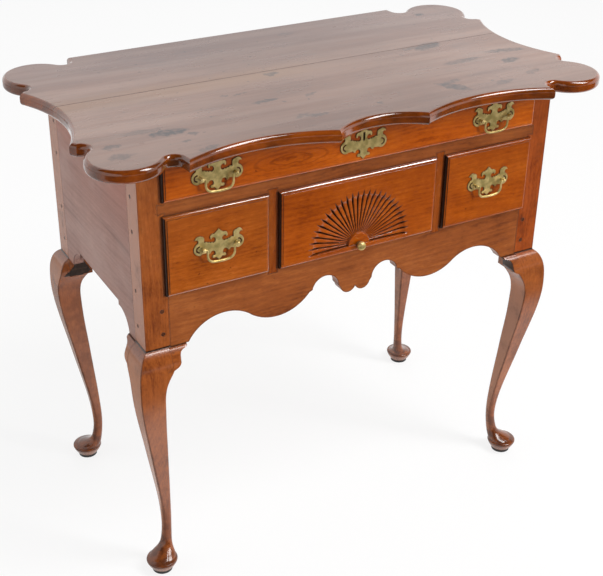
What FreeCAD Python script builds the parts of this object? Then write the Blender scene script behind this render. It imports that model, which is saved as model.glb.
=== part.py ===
import FreeCAD, Part
import math
import os
import re

# A lowboy: a dressing table with a scalloped top, cabriole legs and a carved fan drawer.
# Millimetres, +Z up, front towards -Y. The origin is on the floor under the middle of the top.

V = FreeCAD.Vector

SIZES = {
    # case
    "case_width": 800,
    "case_depth": 418,
    "knee_height": 477,
    "apron_height": 102,
    "lower_opening": 132,
    "rail_height": 34,
    "upper_opening": 58,
    "top_rail_height": 9,
    "post_side": 44,
    "panel_thickness": 20,
    "back_thickness": 15,
    "back_rise": 38,
    "apron_thickness": 22,
    # joints of the case
    "tenon_thickness": 9,
    "tenon_inset": 6,
    "tenon_shoulder": 12,
    "tenon_root": 8,
    "peg_radius": 3.5,
    "peg_length": 30,
    "dovetail_neck": 13,
    "dovetail_end": 19,
    "dovetail_length": 12,
    "lap_inset": 8,
    # top
    "overhang_side": 79,
    "overhang_front": 75,
    "overhang_rear": 43,
    "rear_board": 232,
    "top_thickness": 22,
    "top_edge_radius": 7.5,
    "lobe_radius": 61,
    "lobe_set_back": 4,
    "notch_radius": 14,
    "notch_ear": 2,
    "notch_run": 11,
    "side_set_back": 3,
    "middle_cusp": 83,
    "scallop_depth": 31,
    "top_pin_radius": 5,
    "top_pin_depth": 35,
    # dividers and runners
    "divider_place": 165,
    "divider_width": 29,
    "runner_height": 20,
    "runner_ledge": 22,
    "guide_height": 22,
    # legs and feet
    "knee_bulge": 20,
    "knee_drop": 40,
    "block_length": 30,
    "foot_radius": 28.4,
    "foot_height": 23.5,
    "foot_set_back": 12,
    "glide_radius": 18.4,
    "glide_height": 6.5,
    # drawers
    "drawer_gap": 18,
    "front_thickness": 14,
    "lip_thickness": 7,
    "lip_overlap": 5,
    "lip_radius": 5,
    "field_rise": 1,
    "field_inset": 6,
    "side_play": 1.5,
    "top_play": 3,
    "side_thickness": 10,
    "back_drop": 6,
    "dovetail_lap": 4,
    "bottom_thickness": 8,
    "bottom_rise": 6,
    "groove_depth": 5,
    # carved fan
    "fan_rise": 7,
    "fan_radius": 94,
    "fan_depth": 6,
    "hub_radius": 23,
    "hub_drop": 1.5,
    # brass
    "post_spacing": 60,
    "plate_thickness": 1.6,
    "pull_reach": 8,
    "pull_head_radius": 3.6,
    "pull_neck_radius": 2.2,
    "bail_wire_radius": 1.6,
    "bail_play": 0.05,
    "bail_inset": 6.6,
    "bail_drop": 24.5,
    "bail_turn": 11,
    "bail_pin_end": 1.5,
    "nut_side": 9,
    "nut_thickness": 3,
    "post_end": 2,
    "knob_radius": 7.5,
    "knob_reach": 14,
    "knob_screw_radius": 2,
    "knob_screw_end": 2.5,
    # lock
    "key_width": 4,
    "key_low": 6,
    "key_high": 22,
    "lock_gap": 6,
    "lock_width": 60,
    "lock_thickness": 9,
    "bolt_width": 14,
    "bolt_thickness": 4,
    "bolt_height": 18,
    "bolt_throw": 12,
    "bolt_play": 0.5,
    "mortise_play": 1,
}

SHIFT = "((overhang_front - overhang_rear) / 2)"
FRONT = f"({SHIFT} - case_depth / 2)"
REAR = f"({SHIFT} + case_depth / 2)"
HALF = "(case_width / 2)"
TENON = "(post_side / 2)"
CLEAR = "(case_width / 2 - post_side)"
LOWER_SILL = "(knee_height + apron_height)"
LOWER_HEAD = f"({LOWER_SILL} + lower_opening)"
UPPER_SILL = f"({LOWER_HEAD} + rail_height)"
UPPER_HEAD = f"({UPPER_SILL} + upper_opening)"
CASE_TOP = f"({UPPER_HEAD} + top_rail_height)"
TOP_WIDTH = "(case_width + 2 * overhang_side)"
TOP_DEPTH = "(case_depth + overhang_front + overhang_rear)"
SEAM = f"({TOP_DEPTH} / 2 - rear_board)"
DIVIDER_OUT = "(divider_place + divider_width / 2)"
DIVIDER_IN = "(divider_place - divider_width / 2)"
INSIDE = f"({FRONT} + front_thickness)"
DRAWER_END = f"({REAR} - back_thickness - drawer_gap)"
FACE = f"({FRONT} - lip_thickness - field_rise)"
HINGE = f"({FACE} - plate_thickness - pull_reach)"
RIGHT_PULL = f"(({CLEAR} + {DIVIDER_OUT}) / 2)"
LEFT_PULL = f"(-{RIGHT_PULL})"
UPPER_PULL = f"({UPPER_SILL} + 0.474 * upper_opening)"
LOWER_PULL = f"({LOWER_SILL} + 0.53 * lower_opening)"
FAN_HEIGHT = f"({LOWER_SILL} + fan_rise)"
HUB = f"({FACE} + hub_drop)"
ACROSS = (1, 0, 0)
ALONG = (0, 1, 0)
UP = (0, 0, 1)
MIDDLE = ("0", SHIFT, "0")

doc = FreeCAD.newDocument("Lowboy")
sheet = doc.addObject("Spreadsheet::Sheet", "Sizes")
for row, (name, size) in enumerate(SIZES.items(), 1):
    sheet.set(f"A{row}", name)
    sheet.set(f"B{row}", str(size))
    sheet.setAlias(f"B{row}", name)
doc.recompute()

nodes = {}


# Expressions over the sheet

def bound(text):
    """Turn size names in text into references to the sheet."""
    return re.sub(r"[a-z_]+", lambda word: "Sizes." + word[0] if word[0] in SIZES else word[0], text)


def number(text):
    return float(sheet.evalExpression(bound(text)))


def bind(item, path, text):
    item.setExpression(path, bound(text))


def node(label, item):
    """Name a finished sub-part; it is written to its own file."""
    item.Label = label
    nodes[label] = item
    return item


# Solids from primitives and booleans

def box(x, y, z):
    """A box between pairs of expressions along each axis."""
    item = doc.addObject("Part::Box", "block")
    for side, axis, (low, high) in zip(("Length", "Width", "Height"), "xyz", (x, y, z)):
        bind(item, side, f"({high}) - ({low})")
        bind(item, f"Placement.Base.{axis}", low)
    return item


def rod(radius, length, start, along):
    """A round rod from a start point, given as expressions, along a direction."""
    item = doc.addObject("Part::Cylinder", "rod")
    item.Placement = FreeCAD.Placement(V(), FreeCAD.Rotation(V(0, 0, 1), V(*along)))
    bind(item, "Radius", radius)
    bind(item, "Height", length)
    for axis, place in zip("xyz", start):
        bind(item, f"Placement.Base.{axis}", place)
    return item


def ball(radius, centre):
    item = doc.addObject("Part::Sphere", "ball")
    bind(item, "Radius", radius)
    for axis, place in zip("xyz", centre):
        bind(item, f"Placement.Base.{axis}", place)
    return item


def cut(base, *tools):
    for tool in tools:
        item = doc.addObject("Part::Cut", "cut")
        item.Base = base
        item.Tool = tool
        base = item
    return base


def fuse(*parts):
    item = doc.addObject("Part::MultiFuse", "joined")
    item.Shapes = list(parts)
    item.Refine = True
    return item


def common(base, tool):
    item = doc.addObject("Part::Common", "kept")
    item.Base = base
    item.Tool = tool
    return item


def group(*parts):
    item = doc.addObject("Part::Compound", "group")
    item.Links = list(parts)
    return item


def mirror(source, normal, base=("0", "0", "0")):
    item = doc.addObject("Part::Mirroring", "mirrored")
    item.Source = source
    item.Normal = V(*normal)
    for axis, place in zip("xyz", base):
        bind(item, f"Base.{axis}", place)
    return item


# Solids from sketches

def new_body(x="0", y="0", z="0"):
    item = doc.addObject("PartDesign::Body", "body")
    for axis, place in zip("xyz", (x, y, z)):
        bind(item, f"Placement.Base.{axis}", place)
    return item


def datum(body, role):
    return next(feature for feature in body.Origin.OriginFeatures if feature.Role == role)


def empty_sketch(body, role, offset):
    item = body.newObject("Sketcher::SketchObject", "outline")
    item.AttachmentSupport = [(datum(body, role), "")]
    item.MapMode = "FlatFace"
    bind(item, "AttachmentOffset.Base.z", offset)
    return item


def trace(item, start, steps):
    """Draw a run of lines and arcs. A step is an end point, or a via point and an end point."""
    last = start
    for step in steps:
        if isinstance(step[0], tuple):
            via, end = step
            item.addGeometry(Part.Arc(V(*last), V(*via), V(*end)), False)
        else:
            end = step
            if math.dist(last, end) > 1e-6:
                item.addGeometry(Part.LineSegment(V(*last), V(*end)), False)
        last = end


def sketch(body, role, offset, start, steps):
    """A closed outline on a plane of the body."""
    item = empty_sketch(body, role, offset)
    trace(item, start, list(steps) + [start])
    return item


def frame(left, low, right, high):
    """The outline of a rectangle."""
    return (left, low), [(right, low), (right, high), (left, high)]


def backwards(start, steps):
    """The same run of steps from its end back to its start."""
    ends = [start] + [step[1] if isinstance(step[0], tuple) else step for step in steps]
    back = []
    for step, end in zip(reversed(steps), reversed(ends[:-1])):
        back.append((step[0], end) if isinstance(step[0], tuple) else end)
    return back


def turned(steps, right, up):
    """The same steps with their coordinates multiplied by 1 or -1."""
    def place(point):
        return (right * point[0], up * point[1])
    return [(place(step[0]), place(step[1])) if isinstance(step[0], tuple) else place(step) for step in steps]


def both_halves(start, steps):
    """An outline whose left half mirrors the given right half."""
    last = steps[-1][1] if isinstance(steps[-1][0], tuple) else steps[-1]
    across = turned([last], -1, 1)
    return start, steps + across + turned(backwards(start, steps), -1, 1)


def pad(body, profile, length, reverse=False):
    item = body.newObject("PartDesign::Pad", "Pad")
    item.Profile = profile
    bind(item, "Length", length)
    item.Reversed = reverse
    return item


def loft(body, profiles, kind="PartDesign::AdditiveLoft", ruled=False):
    item = body.newObject(kind, "Loft")
    item.Profile = profiles[0]
    item.Sections = profiles[1:]
    item.Ruled = ruled
    return item


def polar(centre, radius, degrees):
    angle = math.radians(degrees)
    return (centre[0] + radius * math.cos(angle), centre[1] + radius * math.sin(angle))


# Top: two boards with scallops, notches and a round lobe on each corner

def top_outline():
    lobe = number("lobe_radius")
    notch = number("notch_radius")
    edge = number(f"{TOP_DEPTH} / 2")
    side = number(f"{TOP_WIDTH} / 2")
    scallop = number("scallop_depth")
    inner = number("middle_cusp")
    hollow_side = side - number("side_set_back")
    centre = (side - lobe, lobe + number("lobe_set_back") - edge)
    front_notch = polar(centre, lobe + notch, 218)
    side_notch = polar(centre, lobe + notch, 48)
    front_cusp = (front_notch[0] - notch - number("notch_ear"), -edge)
    side_cusp = (hollow_side, side_notch[1] + notch + number("notch_run"))
    corner = [
        polar(front_notch, notch, 180),
        (polar(front_notch, notch, 109), polar(front_notch, notch, 38)),
        (polar(centre, lobe, 313), polar(centre, lobe, 48)),
        (polar(side_notch, notch, 159), polar(side_notch, notch, 90)),
        side_cusp,
    ]
    right = [(((inner + front_cusp[0]) / 2, scallop - edge), front_cusp)] + corner
    right.append(((hollow_side - scallop, 0), (side_cusp[0], -side_cusp[1])))
    right += turned(backwards(front_cusp, corner), 1, -1)
    start, steps = both_halves((inner, -edge), right)
    return start, steps + [((0, scallop - edge), start)]


top = new_body()
top_blank = pad(top, sketch(top, "XY_Plane", CASE_TOP, *top_outline()), "top_thickness")
doc.recompute()
rounded = top.newObject("PartDesign::Fillet", "Rounded")
flat = [f"Edge{place}" for place, edge in enumerate(top_blank.Shape.Edges, 1)
        if abs(edge.BoundBox.ZLength) < 1e-6]
rounded.Base = (top_blank, flat)
bind(rounded, "Radius", "top_edge_radius")
top_pins = group(*[
    rod("top_pin_radius", "top_thickness + top_pin_depth", (x, y, f"{CASE_TOP} - top_pin_depth"), UP)
    for x in (f"-{HALF} + post_side / 2", f"{HALF} - post_side / 2")
    for y in (f"{FRONT} + post_side / 2", f"{REAR} - post_side / 2")
])
node("top_pins", top_pins)
for label, low, high in (("top_board_front", f"-{TOP_DEPTH}", SEAM), ("top_board_rear", SEAM, TOP_DEPTH)):
    half = box((f"-{TOP_WIDTH}", TOP_WIDTH), (low, high),
               (f"{CASE_TOP} - 1", f"{CASE_TOP} + top_thickness + 1"))
    node(label, cut(common(top, half), top_pins))


# Legs: a square post that runs down into a cabriole leg with a pad foot
# Each row: share of the knee height, share of the knee's bulge, share of the post's side, corner radius

LEG_ROWS = [
    (1.002, -0.025, 0.989, 1.0),
    (0.987, 0.425, 0.989, 1.5),
    (0.964, 0.740, 0.989, 2.0),
    (0.933, 0.940, 0.989, 2.0),
    (0.906, 1.015, 0.841, 2.0),
    (0.876, 1.050, 0.659, 2.0),
    (0.839, 1.060, 0.557, 2.2),
    (0.776, 0.955, 0.545, 2.5),
    (0.692, 0.665, 0.584, 2.8),
    (0.587, 0.205, 0.670, 3.2),
    (0.482, -0.235, 0.750, 3.6),
    (0.377, -0.690, 0.834, 4.0),
    (0.283, -1.035, 0.898, 5.0),
    (0.210, -1.160, 0.941, 8.0),
    (0.157, -1.155, 0.925, 8.0),
    (0.120, -1.030, 0.895, 8.4),
    (0.092, -0.800, 0.868, 10.0),
    (0.071, -0.200, 0.864, 15.5),
    (0.057, 0.400, 0.864, 21.0),
    (0.042, 0.620, 0.864, 24.5),
]


def rounded_square(low, high, radius):
    bend = radius * (1 - math.sqrt(0.5))
    start = (low + radius, low)
    return start, [
        (high - radius, low),
        ((high - bend, low + bend), (high, low + radius)),
        (high, high - radius),
        ((high - bend, high - bend), (high - radius, high)),
        (low + radius, high),
        ((low + bend, high - bend), (low, high - radius)),
        (low, low + radius),
        ((low + bend, low + bend), start),
    ]


leg = new_body(f"-{HALF}", FRONT, "0")
sections = []
for height, bulge, side, radius in LEG_ROWS:
    low = -bulge * number("knee_bulge")
    high = side * number("post_side")
    sections.append(sketch(leg, "XY_Plane", f"{height} * knee_height", *rounded_square(low, high, radius)))
loft(leg, sections)
square = frame(0, 0, number("post_side"), number("post_side"))
pad(leg, sketch(leg, "XY_Plane", "knee_height - knee_drop", *square), f"{CASE_TOP} - knee_height + knee_drop")
wide = number("foot_radius")
base = number("glide_height")
tall = number("foot_height")
foot = sketch(leg, "XZ_Plane", "-foot_set_back", (0, base), [
    (0.7 * wide, base), (0.72 * wide, base + 0.05 * tall),
    ((0.875 * wide, base + 0.30 * tall), (0.985 * wide, base + 0.60 * tall)),
    ((wide, base + 0.71 * tall), (0.94 * wide, base + 0.81 * tall)),
    (0.7 * wide, base + 0.90 * tall), (0, base + tall)])
bind(foot, "AttachmentOffset.Base.x", "foot_set_back")
turning = leg.newObject("PartDesign::Revolution", "Foot")
turning.Profile = foot
turning.ReferenceAxis = (foot, ["V_Axis"])
turning.Angle = 360
leg_blanks = {"front_left": leg, "front_right": mirror(leg, ACROSS), "rear_left": mirror(leg, ALONG, MIDDLE)}
leg_blanks["rear_right"] = mirror(leg_blanks["rear_left"], ACROSS)
node("foot_glides", group(*[
    rod("glide_radius", "glide_height", (x, y, "0"), UP)
    for x in (f"-{HALF} + foot_set_back", f"{HALF} - foot_set_back")
    for y in (f"{FRONT} + foot_set_back", f"{REAR} - foot_set_back")
]))


# Knee blocks carry the knee's curve along the apron and the sides

knee_block = new_body(f"-{HALF}", FRONT, "0")
ends = []
knee = number("knee_height")
behind = number("apron_thickness - 2")
for reach, bulge, fall in ((0, 1, 1), (0.47, 0.65, 0.625), (1, 0.06, 0.1)):
    out = bulge * number("knee_bulge")
    drop = fall * number("knee_drop")
    ends.append(sketch(knee_block, "YZ_Plane", f"post_side + {reach} * block_length", (behind, knee), [
        (0, knee), ((-0.74 * out, knee - 0.42 * drop), (-out, knee - drop)), (behind, knee - drop)]))
loft(knee_block, ends)
block = cut(knee_block, leg)
side_block = mirror(block, (1, -1, 0), (f"-{HALF}", FRONT, "0"))
far_block = mirror(side_block, ACROSS)
node("knee_blocks_front", group(block, mirror(block, ACROSS)))
node("knee_blocks_side", group(side_block, far_block, mirror(far_block, ALONG, MIDDLE)))


# Pegs through the tenons, seen on the posts

SIDE_HEIGHT = f"({CASE_TOP} - knee_height)"
FRONT_PEG = f"({CLEAR} + 0.27 * post_side)"
SIDE_PEG = "(0.66 * post_side)"
front_pegs = [rod("peg_radius", "peg_length", (x, FRONT, f"knee_height + {share} * apron_height"), ALONG)
              for x in (f"-{FRONT_PEG}", FRONT_PEG)
              for share in (0.265, 0.686)]
side_pegs = [rod("peg_radius", "peg_length", (x, y, f"knee_height + {share} * {SIDE_HEIGHT}"), way)
             for x, way in ((f"-{HALF}", (1, 0, 0)), (HALF, (-1, 0, 0)))
             for y in (f"{FRONT} + {SIDE_PEG}", f"{REAR} - {SIDE_PEG}")
             for share in (0.110, 0.307, 0.624, 0.806)]
pegs = node("joint_pegs", group(*front_pegs, *side_pegs))


# Apron, sides and back, tenoned into the posts

def apron_outline():
    """Shares of the half width and of the apron's height."""
    span = number(CLEAR)
    low = number("knee_height")
    tall = number("apron_height")

    def at(share, rise):
        return (share * span, low + rise * tall)
    half = [
        (at(0.041, 0.137), at(0.083, 0.255)),
        at(0.0955, 0.314),
        (at(0.1685, 0.574), at(0.2444, 0.358)),
        at(0.2612, 0.333),
        (at(0.458, 0.039), at(0.5927, 0.239)),
        (at(0.719, 0.382), at(0.9073, 0)),
        at(1, 0),
        at(1, 1),
    ]
    return both_halves(at(0, 0.235), half)


def side_outline():
    """The skirt is flat, steps down and sweeps to the posts. The middle of the side is at zero."""
    span = number("case_depth / 2 - post_side")
    low = number("knee_height")
    high = number(CASE_TOP)
    rise = number("0.417 * apron_height")
    step = number("0.333 * apron_height")
    sweep = number("0.245 * apron_height")
    half = [
        (0.57 * span, low + rise),
        (0.57 * span, low + step),
        ((0.757 * span, low + sweep), (0.836 * span, low)),
        (span, low),
        (span, high),
    ]
    return both_halves((0, low + rise), half)


apron_board = new_body()
pad(apron_board, sketch(apron_board, "XZ_Plane", f"-{FRONT}", *apron_outline()), "apron_thickness", True)
apron_tenon = box((f"{CLEAR} - tenon_root", f"{CLEAR} + {TENON}"),
                  (f"{FRONT} + tenon_inset", f"{FRONT} + tenon_inset + tenon_thickness"),
                  ("knee_height + tenon_shoulder", f"{LOWER_SILL} - tenon_shoulder"))
apron_blank = fuse(apron_board, apron_tenon, mirror(apron_tenon, ACROSS))

side_board = new_body("0", SHIFT, "0")
pad(side_board, sketch(side_board, "YZ_Plane", f"-{HALF}", *side_outline()), "panel_thickness")
side_tenon = box((f"-{HALF} + tenon_inset", f"-{HALF} + tenon_inset + tenon_thickness"),
                 (f"{FRONT} + post_side - {TENON}", f"{FRONT} + post_side + tenon_root"),
                 ("knee_height + tenon_shoulder", f"{CASE_TOP} - top_pin_depth - tenon_root"))
left_side = fuse(side_board, side_tenon, mirror(side_tenon, ALONG, MIDDLE))
right_side = mirror(left_side, ACROSS)
node("side_panel_left", cut(left_side, pegs))
node("side_panel_right", cut(right_side, pegs))

TONGUE = f"({REAR} - (back_thickness - tenon_thickness) / 2)"
back_board = box((f"-{CLEAR}", CLEAR), (f"{REAR} - back_thickness", REAR),
                 ("knee_height + back_rise", CASE_TOP))
back_tenon = box((f"-{CLEAR} - {TENON}", f"{CLEAR} + {TENON}"),
                 (f"{TONGUE} - tenon_thickness", TONGUE),
                 ("knee_height + back_rise + tenon_shoulder", f"{CASE_TOP} - tenon_shoulder"))
back_panel = node("back_panel", fuse(back_board, back_tenon))


# Rails and dividers, dovetailed in from the front

def dovetail(x, z, way, across):
    """A tongue that widens along x or along z from a middle point at its neck."""
    neck = number("dovetail_neck / 2")
    end = number("dovetail_end / 2")
    reach = way * number("dovetail_length")
    if across:
        return [(x, z - way * neck), (x + reach, z - way * end),
                (x + reach, z + way * end), (x, z + way * neck)]
    return [(x + way * neck, z), (x + way * end, z + reach),
            (x - way * end, z + reach), (x - way * neck, z)]


def rail_outline():
    span = number(CLEAR)
    low = number(LOWER_HEAD)
    high = number(UPPER_SILL)
    middle = (low + high) / 2
    return (-span, low), ([(span, low)] + dovetail(span, middle, 1, True) + [(span, high), (-span, high)]
                          + dovetail(-span, middle, -1, True))


def divider_outline(place):
    half = number("divider_width / 2")
    low = number(LOWER_SILL)
    high = number(LOWER_HEAD)
    return (place - half, low), (dovetail(place, low, -1, False) + [(place + half, low), (place + half, high)]
                                 + dovetail(place, high, 1, False) + [(place - half, high)])


dividers = []
for label, way in (("divider_left", -1), ("divider_right", 1)):
    divider = new_body()
    outline = divider_outline(way * number("divider_place"))
    pad(divider, sketch(divider, "XZ_Plane", f"-{FRONT}", *outline), "apron_thickness", True)
    dividers.append(node(label, divider))
node("front_apron", cut(apron_blank, pegs, *dividers))

rail_board = new_body()
pad(rail_board, sketch(rail_board, "XZ_Plane", f"-{FRONT}", *rail_outline()), "post_side", True)
node("drawer_rail", cut(rail_board, *dividers))

BOLT_FRONT = f"({INSIDE} + (lock_thickness - bolt_thickness) / 2)"
LOCK_TOP = f"({UPPER_HEAD} - lock_gap)"
mortise = box(("-bolt_width / 2 - mortise_play", "bolt_width / 2 + mortise_play"),
              (f"{BOLT_FRONT} - mortise_play", f"{BOLT_FRONT} + bolt_thickness + mortise_play"),
              (f"{UPPER_HEAD} - 1", f"{LOCK_TOP} + bolt_throw + mortise_play"))
top_rail = cut(fuse(
    box((f"-{CLEAR}", CLEAR), (FRONT, f"{FRONT} + post_side"), (UPPER_HEAD, CASE_TOP)),
    box((f"-{CLEAR} - post_side / 3", f"{CLEAR} + post_side / 3"),
        (f"{FRONT} + lap_inset", f"{FRONT} + post_side - lap_inset"), (UPPER_HEAD, CASE_TOP)),
), mortise)
node("top_rail", top_rail)

for place, blank in leg_blanks.items():
    across = left_side if place.endswith("left") else right_side
    along = (apron_blank, rail_board, top_rail) if place.startswith("front") else (back_panel,)
    node(f"leg_{place}", cut(blank, across, *along, pegs, top_pins))


# Runners under the drawers, with a guide beside each

BETWEEN = (f"{FRONT} + post_side", f"{REAR} - post_side")
INNER = f"({HALF} - panel_thickness)"


def side_runner(sill):
    runner = fuse(box((f"-{INNER}", f"-{CLEAR} + runner_ledge"), BETWEEN, (f"{sill} - runner_height", sill)),
                  box((f"-{INNER}", f"-{CLEAR}"), BETWEEN, (sill, f"{sill} + guide_height")))
    return group(runner, mirror(runner, ACROSS))


node("upper_runners", side_runner(UPPER_SILL))
node("lower_runners", side_runner(LOWER_SILL))
BEHIND = (f"{FRONT} + apron_thickness", f"{REAR} - back_thickness")
tee = fuse(box((f"{DIVIDER_IN} - runner_ledge", f"{DIVIDER_OUT} + runner_ledge"), BEHIND,
               (f"{LOWER_SILL} - runner_height", LOWER_SILL)),
           box((DIVIDER_IN, DIVIDER_OUT), BEHIND, (LOWER_SILL, f"{LOWER_SILL} + guide_height")))
node("divider_runners", group(mirror(tee, ACROSS), tee))


# Brass pulls: cut plates, posts with nuts, hanging bails

PLATE_SPACING = 60


def plate_size(point):
    """Points of a plate are given for posts 60 apart."""
    scale = number("post_spacing") / PLATE_SPACING
    return tuple(plate_size(part) if isinstance(part, tuple) else scale * part for part in point)


def plate_half():
    """The right half of a plate's outline, from the crest to the drop."""
    steps = [
        (4.6, 24.6), (8.7, 21.8),
        ((14.4, 20.0), (15.0, 16.0)), ((14.6, 14.2), (12.8, 13.7)), ((12.4, 16.0), (10.3, 16.6)),
        ((5.5, 11.5), (10.4, 6.4)),
        (12.6, 8.4), (14.8, 6.8), (17.2, 9.2), (19.2, 7.9), (21.8, 10.8), (26.2, 9.6),
        (26.2, 15.5), ((27.2, 19.6), (31.0, 21.2)), ((37.4, 22.4), (42.0, 16.8)),
        ((38.6, 17.4), (36.2, 14.2)), ((36.4, 11.6), (38.6, 9.8)),
        ((44.3, 0), (36.5, -10.8)), ((33.0, -11.0), (30.0, -9.6)),
        (20.6, -8.8), (18.2, -12.0), (15.8, -11.2),
        ((11.2, -7.3), (6.6, -12.2)), ((7.2, -15.4), (9.2, -15.9)), ((11.9, -18.3), (9.0, -20.7)),
        (5.4, -20.0), (3.0, -22.4), (0, -26),
    ]
    return plate_size((0, 29.5)), [plate_size(step) for step in steps]


def crescent(way):
    """The curved slot in one end of a plate."""
    middle = (way * 34.6, -0.5)
    angles = (100, 0, -95) if way > 0 else (80, 180, 275)
    wide = [plate_size(polar(middle, 6.4, angle)) for angle in angles]
    tight = [plate_size(polar(middle, 3.8, angle)) for angle in angles]
    return wide[0], [(wide[1], wide[2]), tight[2], (tight[1], tight[0])]


def keyhole_outline():
    half = number("key_width / 2")
    low = number("key_low")
    high = number("key_high")
    return (-half, low + half), [((0, low), (half, low + half)), (half, high - half),
                                 ((0, high), (-half, high - half))]


def plate(x, z, keyed):
    body = new_body(x, FACE, z)
    start, half = plate_half()
    outline = sketch(body, "XZ_Plane", "0", start, half + turned(backwards(start, half), -1, 1))
    holes = [crescent(1), crescent(-1)]
    if keyed:
        holes.append(keyhole_outline())
    for start, steps in holes:
        trace(outline, start, steps + [start])
    pad(body, outline, "plate_thickness")
    return body


def pull_posts(x, z):
    """Two posts whose round heads hold a bail; the nuts are inside the drawer."""
    posts = []
    nuts = []
    end = f"({INSIDE} + nut_thickness + post_end)"
    for way in ("-", "+"):
        place = f"({x} {way} post_spacing / 2)"
        stem = rod("pull_neck_radius", f"{end} - {HINGE}", (place, HINGE, z), ALONG)
        head = ball("pull_head_radius", (place, HINGE, z))
        bore = rod("bail_wire_radius + bail_play", "2 * pull_head_radius + 2",
                   (f"{place} - pull_head_radius - 1", HINGE, z), ACROSS)
        posts.append(cut(fuse(stem, head), bore))
        nut = box((f"{place} - nut_side / 2", f"{place} + nut_side / 2"),
                  (INSIDE, f"{INSIDE} + nut_thickness"),
                  (f"{z} - nut_side / 2", f"{z} + nut_side / 2"))
        nuts.append(cut(nut, stem))
    return posts, nuts


def bail(x, z):
    """A wire that runs from one post's bore down, along and up to the other's."""
    body = new_body(x, HINGE, z)
    wide = number("post_spacing / 2 - bail_inset")
    drop = number("bail_drop")
    pin = number("post_spacing / 2 + bail_pin_end")
    bend = number("bail_inset - pull_head_radius")
    turn = number("bail_turn")
    near = 1 - math.sqrt(0.5)
    half = [
        ((wide - turn * near, -drop + turn * near), (wide, -drop + turn)),
        (wide, -bend),
        ((wide + bend * near, -bend * near), (wide + bend, 0)),
        (pin, 0),
    ]
    start = (wide - turn, -drop)
    path = empty_sketch(body, "XZ_Plane", "0")
    trace(path, (-pin, 0), turned(backwards(start, half), -1, 1) + [start] + half)
    section = empty_sketch(body, "YZ_Plane", "-post_spacing / 2 - bail_pin_end")
    section.addGeometry(Part.Circle(V(), V(0, 0, 1), number("bail_wire_radius")), False)
    sweep = body.newObject("PartDesign::AdditivePipe", "Sweep")
    sweep.Profile = section
    sweep.Spine = path
    return body


# Drawers

def tails(base, tip, low, high, count):
    """Corners of dovetails up one end of a drawer side, from low to high."""
    pitch = (high - low) / count
    corners = []
    for place in range(count):
        middle = low + (place + 0.5) * pitch
        corners += [(base, middle - 0.31 * pitch), (tip, middle - 0.4 * pitch),
                    (tip, middle + 0.4 * pitch), (base, middle + 0.31 * pitch)]
    return corners


def drawer_side(x, low, high, back_low, back_high, count):
    face = number(INSIDE)
    tip = number(f"{FRONT} + dovetail_lap")
    end = number(DRAWER_END)
    rear = number(f"{DRAWER_END} - side_thickness")
    low, high, back_low, back_high = (number(text) for text in (low, high, back_low, back_high))
    steps = tails(face, tip, low, high, count)
    steps += [(face, high), (end, high), (end, back_high), (rear, back_high)]
    steps += list(reversed(tails(rear, end, back_low, back_high, count)))
    steps += [(rear, back_low), (end, back_low), (end, low)]
    body = new_body()
    pad(body, sketch(body, "YZ_Plane", x, (face, low), steps), "side_thickness")
    return body


def lipped_front(x, z, left, right, low, high):
    """A drawer front with a rounded lip; its own origin is at the pull on the face of the case."""
    body = new_body(x, FRONT, z)

    def outline(grow):
        return frame(number(f"({left}) - ({x}) - ({grow})"), number(f"({low}) - ({z}) - ({grow})"),
                     number(f"({right}) - ({x}) + ({grow})"), number(f"({high}) - ({z}) + ({grow})"))
    lip = pad(body, sketch(body, "XZ_Plane", "0", *outline("lip_overlap")), "lip_thickness")
    doc.recompute()
    face = -number("lip_thickness")
    rim = [f"Edge{place}" for place, edge in enumerate(lip.Shape.Edges, 1)
           if abs(edge.BoundBox.YMin - face) < 1e-6 and edge.BoundBox.YLength < 1e-6]
    thumb = body.newObject("PartDesign::Fillet", "Thumb")
    thumb.Base = (lip, rim)
    bind(thumb, "Radius", "lip_radius")
    body.Tip = thumb
    field = outline("lip_overlap - field_inset")
    pad(body, sketch(body, "XZ_Plane", "lip_thickness", *field), "field_rise")
    inner = frame(number(f"({left}) - ({x}) + side_play"), number(f"({low}) - ({z})"),
                  number(f"({right}) - ({x}) - side_play"), number(f"({high}) - ({z}) - top_play"))
    pad(body, sketch(body, "XZ_Plane", "0", *inner), "front_thickness", True)
    return body


def carve_fan(body):
    """A dished half fan with a plain hub and 28 cuts between its 27 rays."""
    face = -number("lip_thickness + field_rise")
    deep = face + number("fan_depth")
    hub = number("hub_radius")
    drop = number("hub_drop")
    wide = number("fan_radius")
    dish = sketch(body, "YZ_Plane", "0", (face - 1, 0), [
        (face + drop, 0), (face + drop, hub), (deep, hub + 1), (face, wide), (face - 1, wide)])
    groove = body.newObject("PartDesign::Groove", "Dish")
    groove.Profile = dish
    groove.ReferenceAxis = (dish, ["H_Axis"])
    groove.Angle = 180
    groove.Midplane = True
    body.Tip = groove
    near_half = number("0.14 * hub_radius")
    near_root = deep + number("0.25 * fan_depth")
    far_half = number("0.0255 * fan_radius")
    far_root = face + number("0.233 * fan_depth")
    near = sketch(body, "YZ_Plane", "1.09 * hub_radius", (face - 1, -near_half),
                  [(near_root, 0), (face - 1, near_half)])
    far = sketch(body, "YZ_Plane", "1.053 * fan_radius", (face - 1, -far_half),
                 [(far_root, 0), (face - 1, far_half)])
    first = loft(body, [near, far], "PartDesign::SubtractiveLoft", True)
    body.Tip = first
    rays = body.newObject("PartDesign::PolarPattern", "Rays")
    rays.Originals = [first]
    rays.Axis = (datum(body, "Y_Axis"), [""])
    rays.Angle = 180
    rays.Occurrences = 28
    rays.Reversed = True
    body.Tip = rays


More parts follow.
